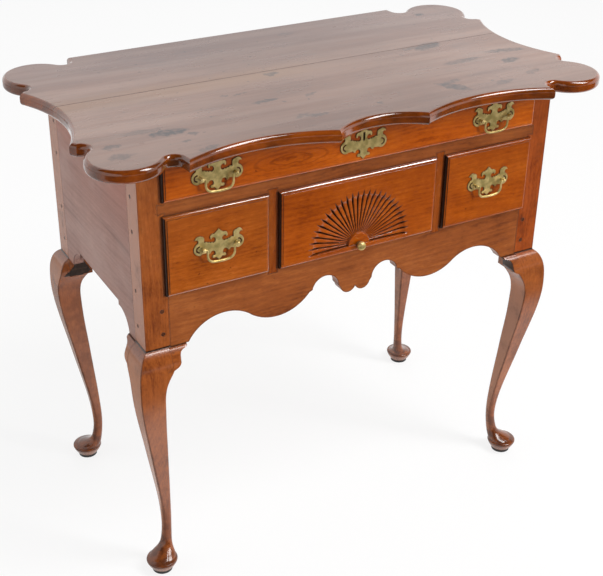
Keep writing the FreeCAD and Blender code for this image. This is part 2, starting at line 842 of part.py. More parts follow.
def drawer(name, left, right, low, high, x, z, count, holes):
    """Make the five boards of a drawer; holes are cut from its front."""
    bottom_low = f"({low} + bottom_rise)"
    bottom_high = f"({low} + bottom_rise + bottom_thickness)"
    rim = f"({high} - top_play)"
    back_high = f"({rim} - back_drop)"
    left_x = f"({left} + side_play)"
    right_x = f"({right} - side_play - side_thickness)"
    tuck = "(side_thickness - groove_depth)"
    bottom = box((f"{left_x} + {tuck}", f"{right_x} + groove_depth"),
                 (f"{INSIDE} - groove_depth", DRAWER_END), (bottom_low, bottom_high))
    sides = [cut(drawer_side(place, low, rim, bottom_high, back_high, count), bottom)
             for place in (left_x, right_x)]
    back = box((left_x, f"{right_x} + side_thickness"), (f"{DRAWER_END} - side_thickness", DRAWER_END),
               (bottom_high, back_high))
    front = lipped_front(x, z, left, right, low, high)
    if name == "fan_drawer":
        carve_fan(front)
    node(f"{name}_bottom", bottom)
    node(f"{name}_side_left", sides[0])
    node(f"{name}_side_right", sides[1])
    node(f"{name}_back", cut(back, *sides))
    node(f"{name}_front", cut(front, *sides, bottom, *holes))


PULLS = {
    "upper_left": (LEFT_PULL, UPPER_PULL),
    "upper_right": (RIGHT_PULL, UPPER_PULL),
    "left": (LEFT_PULL, LOWER_PULL),
    "right": (RIGHT_PULL, LOWER_PULL),
}
posts = {}
for name, (x, z) in PULLS.items():
    posts[name] = pull_posts(x, z)
    node(f"pull_plate_{name}", cut(plate(x, z, False), *posts[name][0]))
    node(f"bail_{name}", bail(x, z))
upper = [posts[name] for name in ("upper_left", "upper_right")]
node("upper_drawer_posts", group(*[part for heads, nuts in upper for part in heads + nuts]))
node("left_drawer_posts", group(*posts["left"][0], *posts["left"][1]))
node("right_drawer_posts", group(*posts["right"][0], *posts["right"][1]))
node("escutcheon", plate("0", UPPER_PULL, True))

knob = new_body("0", HUB, FAN_HEIGHT)
round_half = number("knob_radius")
neck_half = number("0.35 * knob_radius")
seat_half = number("0.64 * knob_radius")
seat_rise = number("0.19 * knob_radius")
reach = number("knob_reach")
screw_half = number("knob_screw_radius")
screw_tip = number(f"{INSIDE} - groove_depth - knob_screw_end - {HUB}")
knob_profile = sketch(knob, "XY_Plane", "0", (0, -reach), [
    ((round_half, 0.4 * round_half - reach), (0.4 * round_half, -0.4 * round_half)),
    (neck_half, -seat_rise), (seat_half, -seat_rise), (seat_half, 0), (screw_half, 0),
    (screw_half, screw_tip - screw_half), (0, screw_tip)])
knob_turning = knob.newObject("PartDesign::Revolution", "Knob")
knob_turning.Profile = knob_profile
knob_turning.ReferenceAxis = (knob_profile, ["V_Axis"])
knob_turning.Angle = 360
node("fan_drawer_knob", knob)

keyhole = box(("-key_width / 2", "key_width / 2"), (f"{FACE} - 1", f"{BOLT_FRONT} - bolt_play"),
              (f"{UPPER_PULL} + key_low + key_width / 2", f"{UPPER_PULL} + key_high - key_width / 2"))
bolt_hole = box(("-bolt_width / 2 - bolt_play", "bolt_width / 2 + bolt_play"),
                (f"{BOLT_FRONT} - bolt_play", f"{BOLT_FRONT} + bolt_thickness + bolt_play"),
                (f"{LOCK_TOP} - bolt_height", f"{LOCK_TOP} + 1"))
lock_box = box(("-lock_width / 2", "lock_width / 2"), (INSIDE, f"{INSIDE} + lock_thickness"),
               (f"{UPPER_SILL} + bottom_rise + bottom_thickness", LOCK_TOP))
node("lock_case", cut(lock_box, bolt_hole, keyhole))
node("lock_bolt", box(("-bolt_width / 2", "bolt_width / 2"), (BOLT_FRONT, f"{BOLT_FRONT} + bolt_thickness"),
                      (f"{LOCK_TOP} - bolt_height", LOCK_TOP)))

upper_holes = [part for heads, nuts in upper for part in heads] + [keyhole]
drawer("upper_drawer", f"(-{CLEAR})", CLEAR, UPPER_SILL, UPPER_HEAD, "0", UPPER_PULL, 2, upper_holes)
drawer("left_drawer", f"(-{CLEAR})", f"(-{DIVIDER_OUT})", LOWER_SILL, LOWER_HEAD, LEFT_PULL, LOWER_PULL, 4,
       posts["left"][0])
drawer("fan_drawer", f"(-{DIVIDER_IN})", DIVIDER_IN, LOWER_SILL, LOWER_HEAD, "0", FAN_HEIGHT, 4, [knob])
drawer("right_drawer", DIVIDER_OUT, CLEAR, LOWER_SILL, LOWER_HEAD, RIGHT_PULL, LOWER_PULL, 4,
       posts["right"][0])


# Check and write every sub-part

doc.recompute()
for item in doc.Objects:
    if "Invalid" in item.State or "Error" in item.State:
        raise RuntimeError(f"{item.Label} did not compute")
os.makedirs("parts", exist_ok=True)
for label, item in nodes.items():
    if item.Shape.isNull() or not item.Shape.isValid():
        raise RuntimeError(f"{label} has no valid shape")
    item.Shape.exportStep(f"parts/{label}.step")
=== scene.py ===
import math

import bmesh
import bpy
from mathutils import Matrix, Vector, noise


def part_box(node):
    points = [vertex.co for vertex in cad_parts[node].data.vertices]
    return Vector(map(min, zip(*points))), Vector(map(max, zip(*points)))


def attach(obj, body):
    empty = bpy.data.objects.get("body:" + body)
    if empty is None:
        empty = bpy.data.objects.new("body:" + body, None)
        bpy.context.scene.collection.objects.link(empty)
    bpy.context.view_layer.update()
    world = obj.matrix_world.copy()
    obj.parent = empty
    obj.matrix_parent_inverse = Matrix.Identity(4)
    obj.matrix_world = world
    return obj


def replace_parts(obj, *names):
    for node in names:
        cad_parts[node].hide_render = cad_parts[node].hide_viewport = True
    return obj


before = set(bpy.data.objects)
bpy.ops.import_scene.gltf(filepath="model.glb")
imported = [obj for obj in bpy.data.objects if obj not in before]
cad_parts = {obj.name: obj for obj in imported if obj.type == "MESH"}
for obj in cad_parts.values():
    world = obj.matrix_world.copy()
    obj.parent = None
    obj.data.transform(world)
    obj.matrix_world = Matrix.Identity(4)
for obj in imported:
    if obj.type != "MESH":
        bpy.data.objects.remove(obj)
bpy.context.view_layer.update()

scene = bpy.context.scene
scene.view_settings.view_transform = "Standard"

MM = 0.001


def clamp(value):
    return max(0.0, min(1.0, value))


# Nodes

class Shader:
    """Nodes of a material or of the world. Values may be sockets, numbers or colours."""

    def __init__(self, name, library=bpy.data.materials):
        self.block = library.new(name)
        self.block.use_nodes = True
        self.tree = self.block.node_tree
        self.tree.nodes.clear()

    def add(self, kind, inputs=(), **settings):
        item = self.tree.nodes.new(kind)
        for key, value in settings.items():
            setattr(item, key, value)
        for key, value in dict(inputs).items():
            self.feed(item.inputs[key], value)
        return item

    def feed(self, socket, value):
        if isinstance(value, bpy.types.NodeSocket):
            self.tree.links.new(value, socket)
        elif socket.type == "RGBA" and len(value) == 3:
            socket.default_value = (*value, 1)
        else:
            socket.default_value = value

    def math(self, operation, first, second=0.0, third=0.0):
        item = self.add("ShaderNodeMath", operation=operation)
        for socket, value in zip(item.inputs, (first, second, third)):
            self.feed(socket, value)
        return item.outputs[0]

    def times(self, first, *others):
        for other in others:
            first = self.math("MULTIPLY", first, other)
        return first

    def largest(self, first, *others):
        for other in others:
            first = self.math("MAXIMUM", first, other)
        return first

    def rest(self, value):
        """What the value lacks to be one."""
        return self.math("SUBTRACT", 1.0, value)

    def off(self, value, centre=0.0):
        """How far the value lies from the centre, to either side."""
        return self.math("ABSOLUTE", self.math("SUBTRACT", value, centre))

    def step(self, value, low, high, start=0.0, end=1.0):
        """A smooth rise from start to end while value goes from low to high."""
        item = self.add("ShaderNodeMapRange", interpolation_type="SMOOTHSTEP")
        for socket, number in zip(item.inputs, (value, low, high, start, end)):
            self.feed(socket, number)
        return item.outputs[0]

    def vector(self, operation, first, second=(0, 0, 0)):
        item = self.add("ShaderNodeVectorMath", operation=operation)
        self.feed(item.inputs[0], first)
        self.feed(item.inputs["Scale" if operation == "SCALE" else 1], second)
        return item.outputs["Value" if operation in ("LENGTH", "DOT_PRODUCT") else "Vector"]

    def parts(self, vector):
        """The three numbers of a vector."""
        return self.add("ShaderNodeSeparateXYZ", {"Vector": vector}).outputs

    def stretch(self, vector, along, across):
        return self.vector("MULTIPLY", vector, (along, across, across))

    def local(self, vector, centre, halves, turn=0.0):
        """Coordinates about a centre, turned by some degrees, in units of the half lengths."""
        item = self.add("ShaderNodeMapping", {"Vector": vector, "Location": centre, "Scale": halves,
                                              "Rotation": (0, 0, math.radians(turn))}, vector_type="TEXTURE")
        return item.outputs[0]

    def mix(self, factor, first, second, blend="MIX"):
        item = self.add("ShaderNodeMix", data_type="RGBA", blend_type=blend)
        self.feed(item.inputs["Factor"], factor)
        self.feed(item.inputs[6], first)
        self.feed(item.inputs[7], second)
        return item.outputs[2]

    def noise_node(self, vector, scale, detail, roughness):
        return self.add("ShaderNodeTexNoise", {"Vector": vector, "Scale": scale, "Detail": detail,
                                               "Roughness": roughness})

    def noise(self, vector, scale, detail=3.0, roughness=0.55):
        return self.noise_node(vector, scale, detail, roughness).outputs[0]

    def streaks(self, vector, along, across, detail, roughness=0.55):
        """Noise with its own scale along the first axis and across it."""
        return self.noise(self.stretch(vector, along, across), 1.0, detail, roughness)

    def wander(self, vector, scale, detail, roughness=0.55):
        """A noise of vectors about zero."""
        colour = self.noise_node(vector, scale, detail, roughness).outputs["Color"]
        return self.vector("SUBTRACT", colour, (0.5, 0.5, 0.5))

    def place(self):
        return self.add("ShaderNodeTexCoord").outputs["Object"]

    def normal(self):
        return self.add("ShaderNodeNewGeometry").outputs["Normal"]

    def piece_number(self):
        return self.add("ShaderNodeObjectInfo").outputs["Random"]

    def bevel(self, radius, samples=4):
        return self.add("ShaderNodeBevel", {"Radius": radius}, samples=samples).outputs[0]

    def turned(self, first, second):
        """How far two normals turn away from each other, zero where they agree."""
        return self.rest(self.vector("DOT_PRODUCT", first, second))

    def air(self, reach):
        """How open the space is within reach of the surface."""
        return self.add("ShaderNodeAmbientOcclusion", {"Distance": reach}, samples=6).outputs["AO"]

    def bump(self, height, normal, strength, distance):
        return self.add("ShaderNodeBump", {"Strength": strength, "Distance": distance, "Height": height,
                                           "Normal": normal}).outputs[0]

    def finish(self, colour, roughness, normal=None, coat=0.0, **constants):
        surface = self.add("ShaderNodeBsdfPrincipled", {"Base Color": colour, "Roughness": roughness,
                                                        "Coat Weight": coat})
        for key, value in constants.items():
            surface.inputs[key.replace("_", " ")].default_value = value
        if normal is not None:
            self.feed(surface.inputs["Normal"], normal)
        self.add("ShaderNodeOutputMaterial", {"Surface": surface.outputs[0]})
        return self.block


# Wood

# how far the grain moves from piece to piece, where the heart of the tree lies, and how close its rings are
PIECE_SHIFT = 7.3
HEART = (0.0, 0.31, 0.22)
RING_RATE = 800.0
# radius within which an edge is rubbed, and within which a joint is lined with dirt
RUBBED_EDGE = 0.0009
LINED_EDGE = 0.0035
COAT_ROUGHNESS = 0.12


def shade(colour, share):
    return tuple(share * part for part in colour)


def tinted(palette, share):
    return [shade(colour, share) for colour in palette]


def grain_place(shader, axis):
    """Object coordinates with the first one along the grain, and an offset of its own for each piece."""
    parts = shader.parts(shader.place())
    order = {"X": (0, 1, 2), "Y": (1, 0, 2), "Z": (2, 0, 1)}[axis]
    shift = shader.times(shader.piece_number(), PIECE_SHIFT)
    join = shader.add("ShaderNodeCombineXYZ")
    for slot, source in enumerate(order):
        shader.feed(join.inputs[slot], shader.math("ADD", parts[source], shift))
    return join.outputs[0]


def wood(name, axis, light, middle, dark, gloss=0.3, figure=1.0, dirt_and_shade_strength=0.8, specular=0.5, joints=0.0,
         reach=0.02, near=0.004, open_air=(0.25, 0.85), coat_index=1.5, paint=None):
    """Rings, fibres, pores and mottle, dirt and painted shade in corners, and edges that are rubbed or lined
    with dirt.
    """
    shader = Shader(name)
    grain = grain_place(shader, axis)
    drift = shader.wander(shader.stretch(grain, 1.6, 7.0), 1.0, 3.0)
    bent = shader.vector("ADD", grain, shader.vector("MULTIPLY", drift, (0.0, 0.09, 0.09)))
    heart = shader.vector("MULTIPLY", shader.vector("SUBTRACT", bent, HEART), (0.06, 1.0, 1.0))
    rings = shader.math("SINE", shader.times(shader.vector("LENGTH", heart), RING_RATE))
    rings = shader.step(rings, -1.0, 1.0)
    bands = shader.streaks(bent, 2.4, 30.0, 4.0, 0.6)
    fibres = shader.streaks(grain, 22.0, 330.0, 3.0, 0.65)
    flecks = shader.streaks(grain, 130.0, 480.0, 2.0, 0.6)
    pores = shader.step(shader.streaks(grain, 60.0, 900.0, 2.0, 0.5), 0.62, 0.74)
    mottle = shader.streaks(grain, 6.0, 11.0, 4.0, 0.6)
    patches = shader.noise(grain, 33.0, 3.0, 0.6)
    dents = shader.step(shader.noise(grain, 150.0, 2.0, 0.5), 0.71, 0.76)
    layers = [(rings, 0.10 * figure), (bands, 0.50 * figure), (fibres, 0.40), (flecks, 0.42),
              (mottle, 0.70), (patches, 0.40)]
    tone = 0.5
    for layer, weight in layers:
        tone = shader.math("ADD", tone, shader.math("MULTIPLY_ADD", layer, weight, -0.5 * weight))
    colour = shader.mix(shader.step(tone, 0.20, 0.52), dark, middle)
    colour = shader.mix(shader.step(tone, 0.48, 0.80), colour, light)
    marks = shader.largest(shader.times(pores, 0.45), shader.times(dents, 0.7))
    colour = shader.mix(marks, colour, shade(dark, 0.30))

    bevel = shader.bevel(RUBBED_EDGE)
    face = shader.normal()
    edge = shader.turned(bevel, face)
    # painted shade with dirt: darker where other surfaces are near, in corners, recesses and under overhangs
    openness = shader.times(shader.step(shader.air(reach), *open_air),
                            shader.step(shader.air(near), 0.30, 0.90))
    corner = shader.rest(openness)
    rubbed = shader.times(shader.step(edge, 0.02, 0.16), shader.step(patches, 0.35, 0.62),
                          shader.rest(corner))
    dirt_and_shade = shader.times(corner, shader.step(patches, 0.1, 0.6, 0.65, 1.0))
    if joints:
        lined = shader.turned(shader.bevel(LINED_EDGE), face)
        dirt_and_shade = shader.largest(dirt_and_shade, shader.times(shader.step(lined, 0.015, 0.09), joints))
    colour = shader.mix(shader.times(rubbed, 0.30), colour, light)
    colour = shader.mix(shader.times(dirt_and_shade, dirt_and_shade_strength), colour, shade(dark, 0.10))
    rough = shader.math("MULTIPLY_ADD", mottle, 0.12, gloss - 0.06)
    rough = shader.math("MULTIPLY_ADD", dirt_and_shade, 0.3, rough)
    coat = 0.0
    if paint is not None:
        colour, rough, coat = paint(shader, colour, rough, grain)
    relief = shader.math("ADD", shader.times(fibres, 0.5), shader.times(bands, 0.5))
    relief = shader.math("SUBTRACT", relief, shader.largest(shader.times(pores, 0.5), dents))
    return shader.finish(colour, rough, shader.bump(relief, bevel, 0.25, 0.00025), coat,
                         Specular_IOR_Level=specular, Coat_Roughness=COAT_ROUGHNESS, Coat_IOR=coat_index)


# Wear, painted shade and painted sheen: each of these paints over a wood, and gives its colour, its
# roughness and the weight of its polish

# heights of the top's upper side and of the ledge over the knees, and where the top's boards meet
TOP_HEIGHT = 0.834
LEDGE = 0.4785
SEAM = 0.036
# the fan's middle in millimetres, the number of its rays, the angle of one ray, and where the lip begins
FAN_Z = 586.0
RAYS = 27
PITCH = math.pi / RAYS
FAN_LIP = 0.1492
# dirt on the legs' edges, and a darker red in the shade on the drawers
EDGE_DIRT = (0.040, 0.012, 0.004)
RED_SHADE = (0.06, 0.006, 0.0)

# ink stains and dents on the top: place, half length, half width, turn in degrees, strength
STAINS = [
    (0.277, 0.026, 0.034, 0.015, 20, 0.85), (0.245, 0.030, 0.030, 0.006, 10, 0.5),
    (0.192, -0.180, 0.012, 0.030, 35, 0.8), (0.204, -0.158, 0.020, 0.008, 10, 0.6),
    (0.366, -0.110, 0.022, 0.010, 15, 0.8), (0.393, -0.059, 0.040, 0.009, -12, 0.7),
    (0.284, -0.075, 0.042, 0.010, 5, 0.55), (0.365, -0.178, 0.018, 0.008, 20, 0.5),
    (0.285, -0.199, 0.026, 0.007, 12, 0.5), (-0.057, 0.019, 0.014, 0.009, 10, 0.75),
    (-0.128, -0.095, 0.024, 0.006, 5, 0.7), (-0.149, -0.045, 0.016, 0.004, 0, 0.65),
    (-0.178, -0.043, 0.010, 0.004, 10, 0.55), (-0.043, -0.099, 0.014, 0.005, 15, 0.6),
    (-0.083, -0.188, 0.019, 0.007, 0, 0.6), (-0.106, -0.181, 0.016, 0.006, 20, 0.5),
    (-0.326, -0.150, 0.034, 0.012, 0, 0.9), (-0.362, -0.130, 0.036, 0.009, 0, 0.4),
    (-0.292, -0.172, 0.010, 0.006, 0, 0.7), (-0.314, -0.194, 0.009, 0.005, 0, 0.6),
    (-0.424, -0.164, 0.016, 0.008, 20, 0.65), (-0.424, -0.207, 0.022, 0.012, 0, 0.55),
    (-0.295, -0.235, 0.020, 0.006, 20, 0.6), (0.379, 0.204, 0.010, 0.006, 0, 0.7),
    (0.035, -0.188, 0.006, 0.005, 0, 0.9), (0.077, 0.210, 0.020, 0.005, 0, 0.35),
]


def top_wear(shader, colour, rough, grain):
    """Bloom in the old finish of the upper side, partly a painted sheen, painted shade in its middle, front
    and rear, stains, a sapwood streak along the seam, fine scratches.
    """
    place = shader.place()
    x, y, _ = shader.parts(place)
    upward = shader.step(shader.parts(shader.normal())[2], 0.93, 0.995)
    clouds = shader.streaks(grain, 2.2, 26.0, 6.0, 0.68)
    # the bloom is partly a painted sheen, pale on the upper side only
    bloom_and_sheen = shader.mix(shader.step(clouds, 0.36, 0.64), (0.236, 0.195, 0.176), (0.335, 0.275, 0.244))
    colour = shader.mix(shader.times(upward, 0.72), colour, bloom_and_sheen)
    # painted shade: the middle, the front and the rear of the upper side are darker
    middle = shader.step(shader.off(x), 0.1, 0.38, 0.22, 0.0)
    colour = shader.mix(shader.times(upward, middle), colour, (0.06, 0.025, 0.015))
    front = shader.step(y, -0.25, -0.08, 0.22, 0.0)
    colour = shader.mix(shader.times(upward, front), colour, (0.06, 0.030, 0.025))
    rear = shader.step(y, 0.0, 0.22, 0.0, 0.24)
    colour = shader.mix(shader.times(upward, rear), colour, (0.08, 0.075, 0.10))
    rim = shader.rest(upward)
    smoke = shader.step(shader.streaks(place, 9.0, 14.0, 5.0, 0.65), 0.36, 0.68, 0.35, 0.92)
    colour = shader.mix(shader.times(rim, smoke), colour, (0.055, 0.012, 0.001))
    rough = shader.math("MULTIPLY_ADD", rim, -0.15, rough)

    ragged = shader.vector("SCALE", shader.wander(place, 55.0, 5.0, 0.7), 0.030)
    moved = shader.vector("ADD", place, ragged)
    stains = []
    for stain_x, stain_y, half_long, half_wide, turn, strength in STAINS:
        local = shader.local(moved, (stain_x, stain_y, TOP_HEIGHT), (half_long, half_wide, 1), turn)
        stains.append(shader.step(shader.vector("LENGTH", local), 0.75, 1.15, strength, 0.0))
    ink = shader.times(shader.largest(*stains),
                       shader.step(shader.noise(place, 120.0), 0.35, 0.6, 0.45, 1.0))
    specks = shader.step(shader.noise(place, 95.0, 2.0, 0.5), 0.70, 0.74)
    ink = shader.times(shader.largest(ink, shader.times(specks, 0.55)), upward)
    sap_x, sap_y, _ = shader.parts(shader.vector("ADD", place, shader.vector("SCALE", ragged, 0.5)))
    sap = shader.times(shader.step(shader.off(sap_y, SEAM - 0.012), 0.004, 0.05, 1.0, 0.0),
                       shader.step(sap_x, -0.1, 0.15, 1.0, 0.0), upward)
    colour = shader.mix(shader.times(sap, 0.30), colour, (0.34, 0.20, 0.11))
    colour = shader.mix(shader.times(ink, 0.85), colour, (0.045, 0.058, 0.066))
    scratch = shader.step(shader.off(shader.streaks(place, 16.0, 95.0, 2.0), 0.5), 0.0, 0.010, 1.0, 0.0)
    scratched = shader.step(shader.noise(place, 9.0, 2.0), 0.60, 0.68)
    colour = shader.mix(shader.times(scratch, scratched, 0.6), colour, (0.05, 0.02, 0.014))
    seam = shader.step(shader.off(y, SEAM), 0.0009, 0.0017, 0.9, 0.0)
    colour = shader.mix(seam, colour, (0.075, 0.022, 0.008))
    return colour, rough, rim


def leg_wear(shader, colour, rough, grain):
    """Sides faded and given a painted sheen, a painted whitish sheen low down, smoke, dirt on edges, painted
    shade on the ledge over the knee, dark feet, and painted shade on the rear legs.
    """
    place = shader.place()
    x, y, z = shader.parts(place)
    across, along, upward = shader.parts(shader.normal())
    post = shader.step(z, 0.47, 0.48)
    # painted sheen with fading: paler on the faces that look to the left and the right
    sideways = shader.step(shader.off(across), 0.80, 0.97, 0.0, 0.75)
    colour = shader.mix(sideways, colour, shader.mix(post, (0.42, 0.160, 0.065), (0.44, 0.215, 0.140)))
    right_post = shader.times(shader.step(x, 0.34, 0.36), post)
    colour = shader.mix(right_post, colour, (1.04, 0.80, 0.60), "MULTIPLY")
    # painted sheen: a whitish wash low on the legs
    painted_sheen = shader.times(shader.step(z, 0.06, 0.16, 0.0, 0.13), shader.step(z, 0.30, 0.44, 1.0, 0.0))
    colour = shader.mix(painted_sheen, colour, (0.24, 0.21, 0.19))
    smoke = shader.step(shader.noise(place, 17.0, 4.0, 0.65), 0.52, 0.74, 0.0, 0.5)
    blotch = shader.step(shader.noise(place, 48.0, 4.0, 0.65), 0.38, 0.62, 0.35, 1.0)
    low = shader.times(shader.step(z, 0.04, 0.17, 0.95, 0.0), blotch)
    # painted shade: the rear legs darker, joined with the smoke and the dark feet
    rear = shader.times(shader.step(y, 0.12, 0.22, 0.0, 0.55), blotch, shader.step(z, 0.40, 0.48, 1.0, 0.3))
    colour = shader.mix(shader.largest(smoke, low, rear), colour, (0.075, 0.019, 0.006))
    arris = shader.step(shader.off(shader.times(across, along)), 0.28, 0.46, 0.0, 0.7)
    arris = shader.times(arris, blotch, shader.step(z, 0.10, 0.20), shader.step(z, 0.470, 0.476, 1.0, 0.0))
    colour = shader.mix(arris, colour, EDGE_DIRT)
    rim = shader.times(shader.step(shader.off(upward), 0.0, 0.45, 0.65, 0.0),
                       shader.step(z, 0.026, 0.030, 1.0, 0.0))
    colour = shader.mix(rim, colour, EDGE_DIRT)
    under = shader.times(shader.step(upward, -0.45, -0.25, 0.6, 0.0), shader.step(z, 0.020, 0.023, 1.0, 0.0))
    colour = shader.mix(under, colour, (0.32, 0.165, 0.115))
    # painted shade: a dark line in the gap where the knee meets the post
    ledge = shader.step(shader.off(z, LEDGE), 0.0008, 0.0024, 0.9, 0.0)
    colour = shader.mix(ledge, colour, (0.010, 0.004, 0.002))
    polish = shader.times(shader.step(upward, -0.10, 0.70, 0.0, 0.75), shader.step(z, 0.05, 0.15, 0.55, 1.0))
    return colour, rough, polish


def side_wear(shader, colour, rough, grain):
    """Dark streaks and a pale painted sheen on the side panels, redder towards the top."""
    z = shader.parts(shader.place())[2]
    streak = shader.streaks(grain, 3.0, 60.0, 5.0, 0.65)
    colour = shader.mix(shader.step(streak, 0.50, 0.68, 0.0, 0.75), colour, (0.13, 0.038, 0.022))
    # painted sheen: pale patches on the side panels
    painted_sheen = shader.streaks(grain, 4.0, 9.0, 4.0, 0.6)
    colour = shader.mix(shader.step(painted_sheen, 0.45, 0.70, 0.0, 0.6), colour, (0.39, 0.240, 0.200))
    red = shader.times(shader.step(z, 0.60, 0.80, 0.0, 0.8), shader.step(painted_sheen, 0.35, 0.62, 1.0, 0.3))
    colour = shader.mix(red, colour, (0.33, 0.090, 0.045))
    return colour, rough, 0.0


def block_wear(axis):
    """The wear of a leg, with raw dark wood on the sawn ends of a knee block that runs along the axis."""
    def paint(shader, colour, rough, grain):
        ends = shader.step(shader.off(shader.parts(shader.normal())[axis]), 0.45, 0.85, 0.0, 0.9)
        colour, rough, coat = leg_wear(shader, colour, rough, grain)
        return shader.mix(ends, colour, (0.012, 0.006, 0.004)), rough, coat
    return paint


def front_wear(inner_half, shine=1.0):
    """Painted shade and old dirt on the sides of the lips, further out than inner_half, and polish on their
    rounds.
    """
    def paint(shader, colour, rough, grain):
        x, _, z = shader.parts(shader.place())
        across, along, _ = shader.parts(shader.normal())
        # only the lower drawers are darker at the top
        shaded = shader.times(shader.step(z, 0.62, 0.70, 0.0, 0.15), shader.step(z, 0.722, 0.728, 1.0, 0.0))
        colour = shader.mix(shaded, colour, RED_SHADE)
        # painted shade with old dirt: dark sides of the lips, over more of the left-facing side
        ends = shader.largest(shader.step(across, -0.50, -0.15, 0.95, 0.0),
                              shader.step(across, 0.50, 0.85, 0.0, 0.95))
        ends = shader.times(ends, shader.step(shader.off(x), inner_half, inner_half + 0.001))
        polish = shader.step(shader.off(along), 0.90, 0.995, shine, 0.0)
        polish = shader.times(polish, shader.rest(ends))
        return shader.mix(ends, colour, (0.010, 0.003, 0.001)), rough, polish
    return paint


def upper_wear(shader, colour, rough, grain):
    """The wear of a lipped front, and the pointed ovals of a flat-sawn board."""
    colour, rough, polish = front_wear(0.0)(shader, colour, rough, grain)
    place = shader.place()
    waves = shader.vector("SCALE", shader.wander(place, 30.0, 3.0, 0.6), 0.012)
    bent = shader.vector("MULTIPLY", shader.vector("ADD", place, waves), (1.0, 0.0, 1.0))
    oval = shader.vector("LENGTH", shader.local(bent, (-0.135, 0.0, 0.772), (0.075, 1.0, 0.016)))
    line = shader.step(shader.math("SINE", shader.times(oval, 16.0)), 0.35, 1.0)
    line = shader.times(line, shader.step(oval, 0.3, 2.6, 0.40, 0.0))
    return shader.mix(line, colour, (0.10, 0.016, 0.001)), rough, polish


def fan_wear(shader, colour, rough, grain):
    """The wear of a lipped front, and black dirt and painted shade in the grooves between the rays."""
    colour, rough, polish = front_wear(FAN_LIP)(shader, colour, rough, grain)
    x, _, z = shader.parts(shader.place())
    z = shader.math("SUBTRACT", z, FAN_Z * MM)
    colour = shader.mix(shader.step(x, 0.02, 0.13, 0.0, 0.12), colour, RED_SHADE)
    radius = shader.math("SQRT", shader.math("ADD", shader.times(x, x), shader.times(z, z)))
    turn = shader.math("DIVIDE", shader.math("ARCTAN2", z, x), PITCH)
    share = shader.off(shader.math("FRACT", turn), 0.5)
    off_groove = shader.times(shader.math("SUBTRACT", 0.5, share), PITCH, radius)
    wide = shader.math("MINIMUM", shader.times(radius, 0.016), 0.00125)
    wide = shader.times(wide, shader.step(radius, 0.076, 0.092, 1.0, 1.5),
                        shader.step(radius, 0.090, 0.104, 1.0, 0.02))
    # black dirt and painted shade in the grooves
    groove = shader.step(shader.math("DIVIDE", off_groove, wide), 0.55, 1.1, 0.96, 0.0)
    groove = shader.times(groove, shader.step(radius, 0.022, 0.027),
                          shader.step(radius, 0.102, 0.103, 1.0, 0.0), shader.step(z, -0.0012, 0.0002))
    polish = shader.times(polish, shader.step(radius, 0.100, 0.106, 0.25, 1.0), shader.rest(groove))
    return shader.mix(groove, colour, (0.010, 0.004, 0.003)), rough, polish


# light, middle and dark colour of each wood
CHERRY = [(0.36, 0.080, 0.0035), (0.275, 0.052, 0.0015), (0.17, 0.028, 0.001)]
BROWN = [(0.33, 0.093, 0.017), (0.245, 0.061, 0.010), (0.125, 0.027, 0.005)]
RUSSET = [(0.35, 0.088, 0.009), (0.265, 0.058, 0.004), (0.155, 0.030, 0.002)]
FADED_WITH_SHEEN = [(0.37, 0.190, 0.145), (0.285, 0.135, 0.100), (0.19, 0.074, 0.050)]
PINE = [(0.58, 0.38, 0.19), (0.44, 0.26, 0.115), (0.27, 0.14, 0.055)]
RAW = [(0.075, 0.038, 0.02), (0.03, 0.015, 0.009), (0.008, 0.004, 0.003)]
# refractive index of the polish on the left drawer and the fan drawer, whose lips shine most
STRONG_COAT = 2.2

# painted light and shade: the left drawer's browner wood stands in for a haze of light on it, the right
# drawer's front is a darker copy of the cherry, and near=0.009 paints shade closely round the pulls, the
# knob and the lips
cherry_front = wood("cherry_front", "X", *tinted(CHERRY, 0.93), gloss=0.18, dirt_and_shade_strength=0.92, near=0.009,
                    paint=front_wear(0.0, 0.1))
cherry_left = wood("cherry_left", "X", *RUSSET, gloss=0.18, dirt_and_shade_strength=0.92, near=0.009, coat_index=STRONG_COAT,
                   paint=front_wear(0.0))
cherry_fan = wood("cherry_fan", "X", *CHERRY, gloss=0.18, dirt_and_shade_strength=0.60, reach=0.006, coat_index=STRONG_COAT,
                  paint=fan_wear)
# painted light and shade: the upper drawer is a lighter copy of the cherry, brighter than the top's overhang
# lets it be, and reach=0.05 paints the shadow under the top's edge
cherry_upper = wood("cherry_upper", "X", *tinted(CHERRY, 1.30), gloss=0.18, dirt_and_shade_strength=0.92, reach=0.05,
                    near=0.009, open_air=(0.45, 0.95), paint=upper_wear)
cherry_rail = wood("cherry_rail", "X", *tinted(BROWN, 0.86), gloss=0.30, joints=0.9)
cherry_apron = wood("cherry_apron", "X", *tinted(BROWN, 0.86), gloss=0.30, joints=0.9)
cherry_up = wood("cherry_up", "Z", *tinted(CHERRY, 0.72), gloss=0.26, joints=0.9)
cherry_leg = wood("cherry_leg", "Z", *BROWN, gloss=0.24, figure=0.6, joints=0.5, paint=leg_wear)
block_front = wood("block_front", "X", *BROWN, gloss=0.24, figure=0.6, paint=block_wear(0))
block_side = wood("block_side", "Y", *BROWN, gloss=0.24, figure=0.6, paint=block_wear(1))
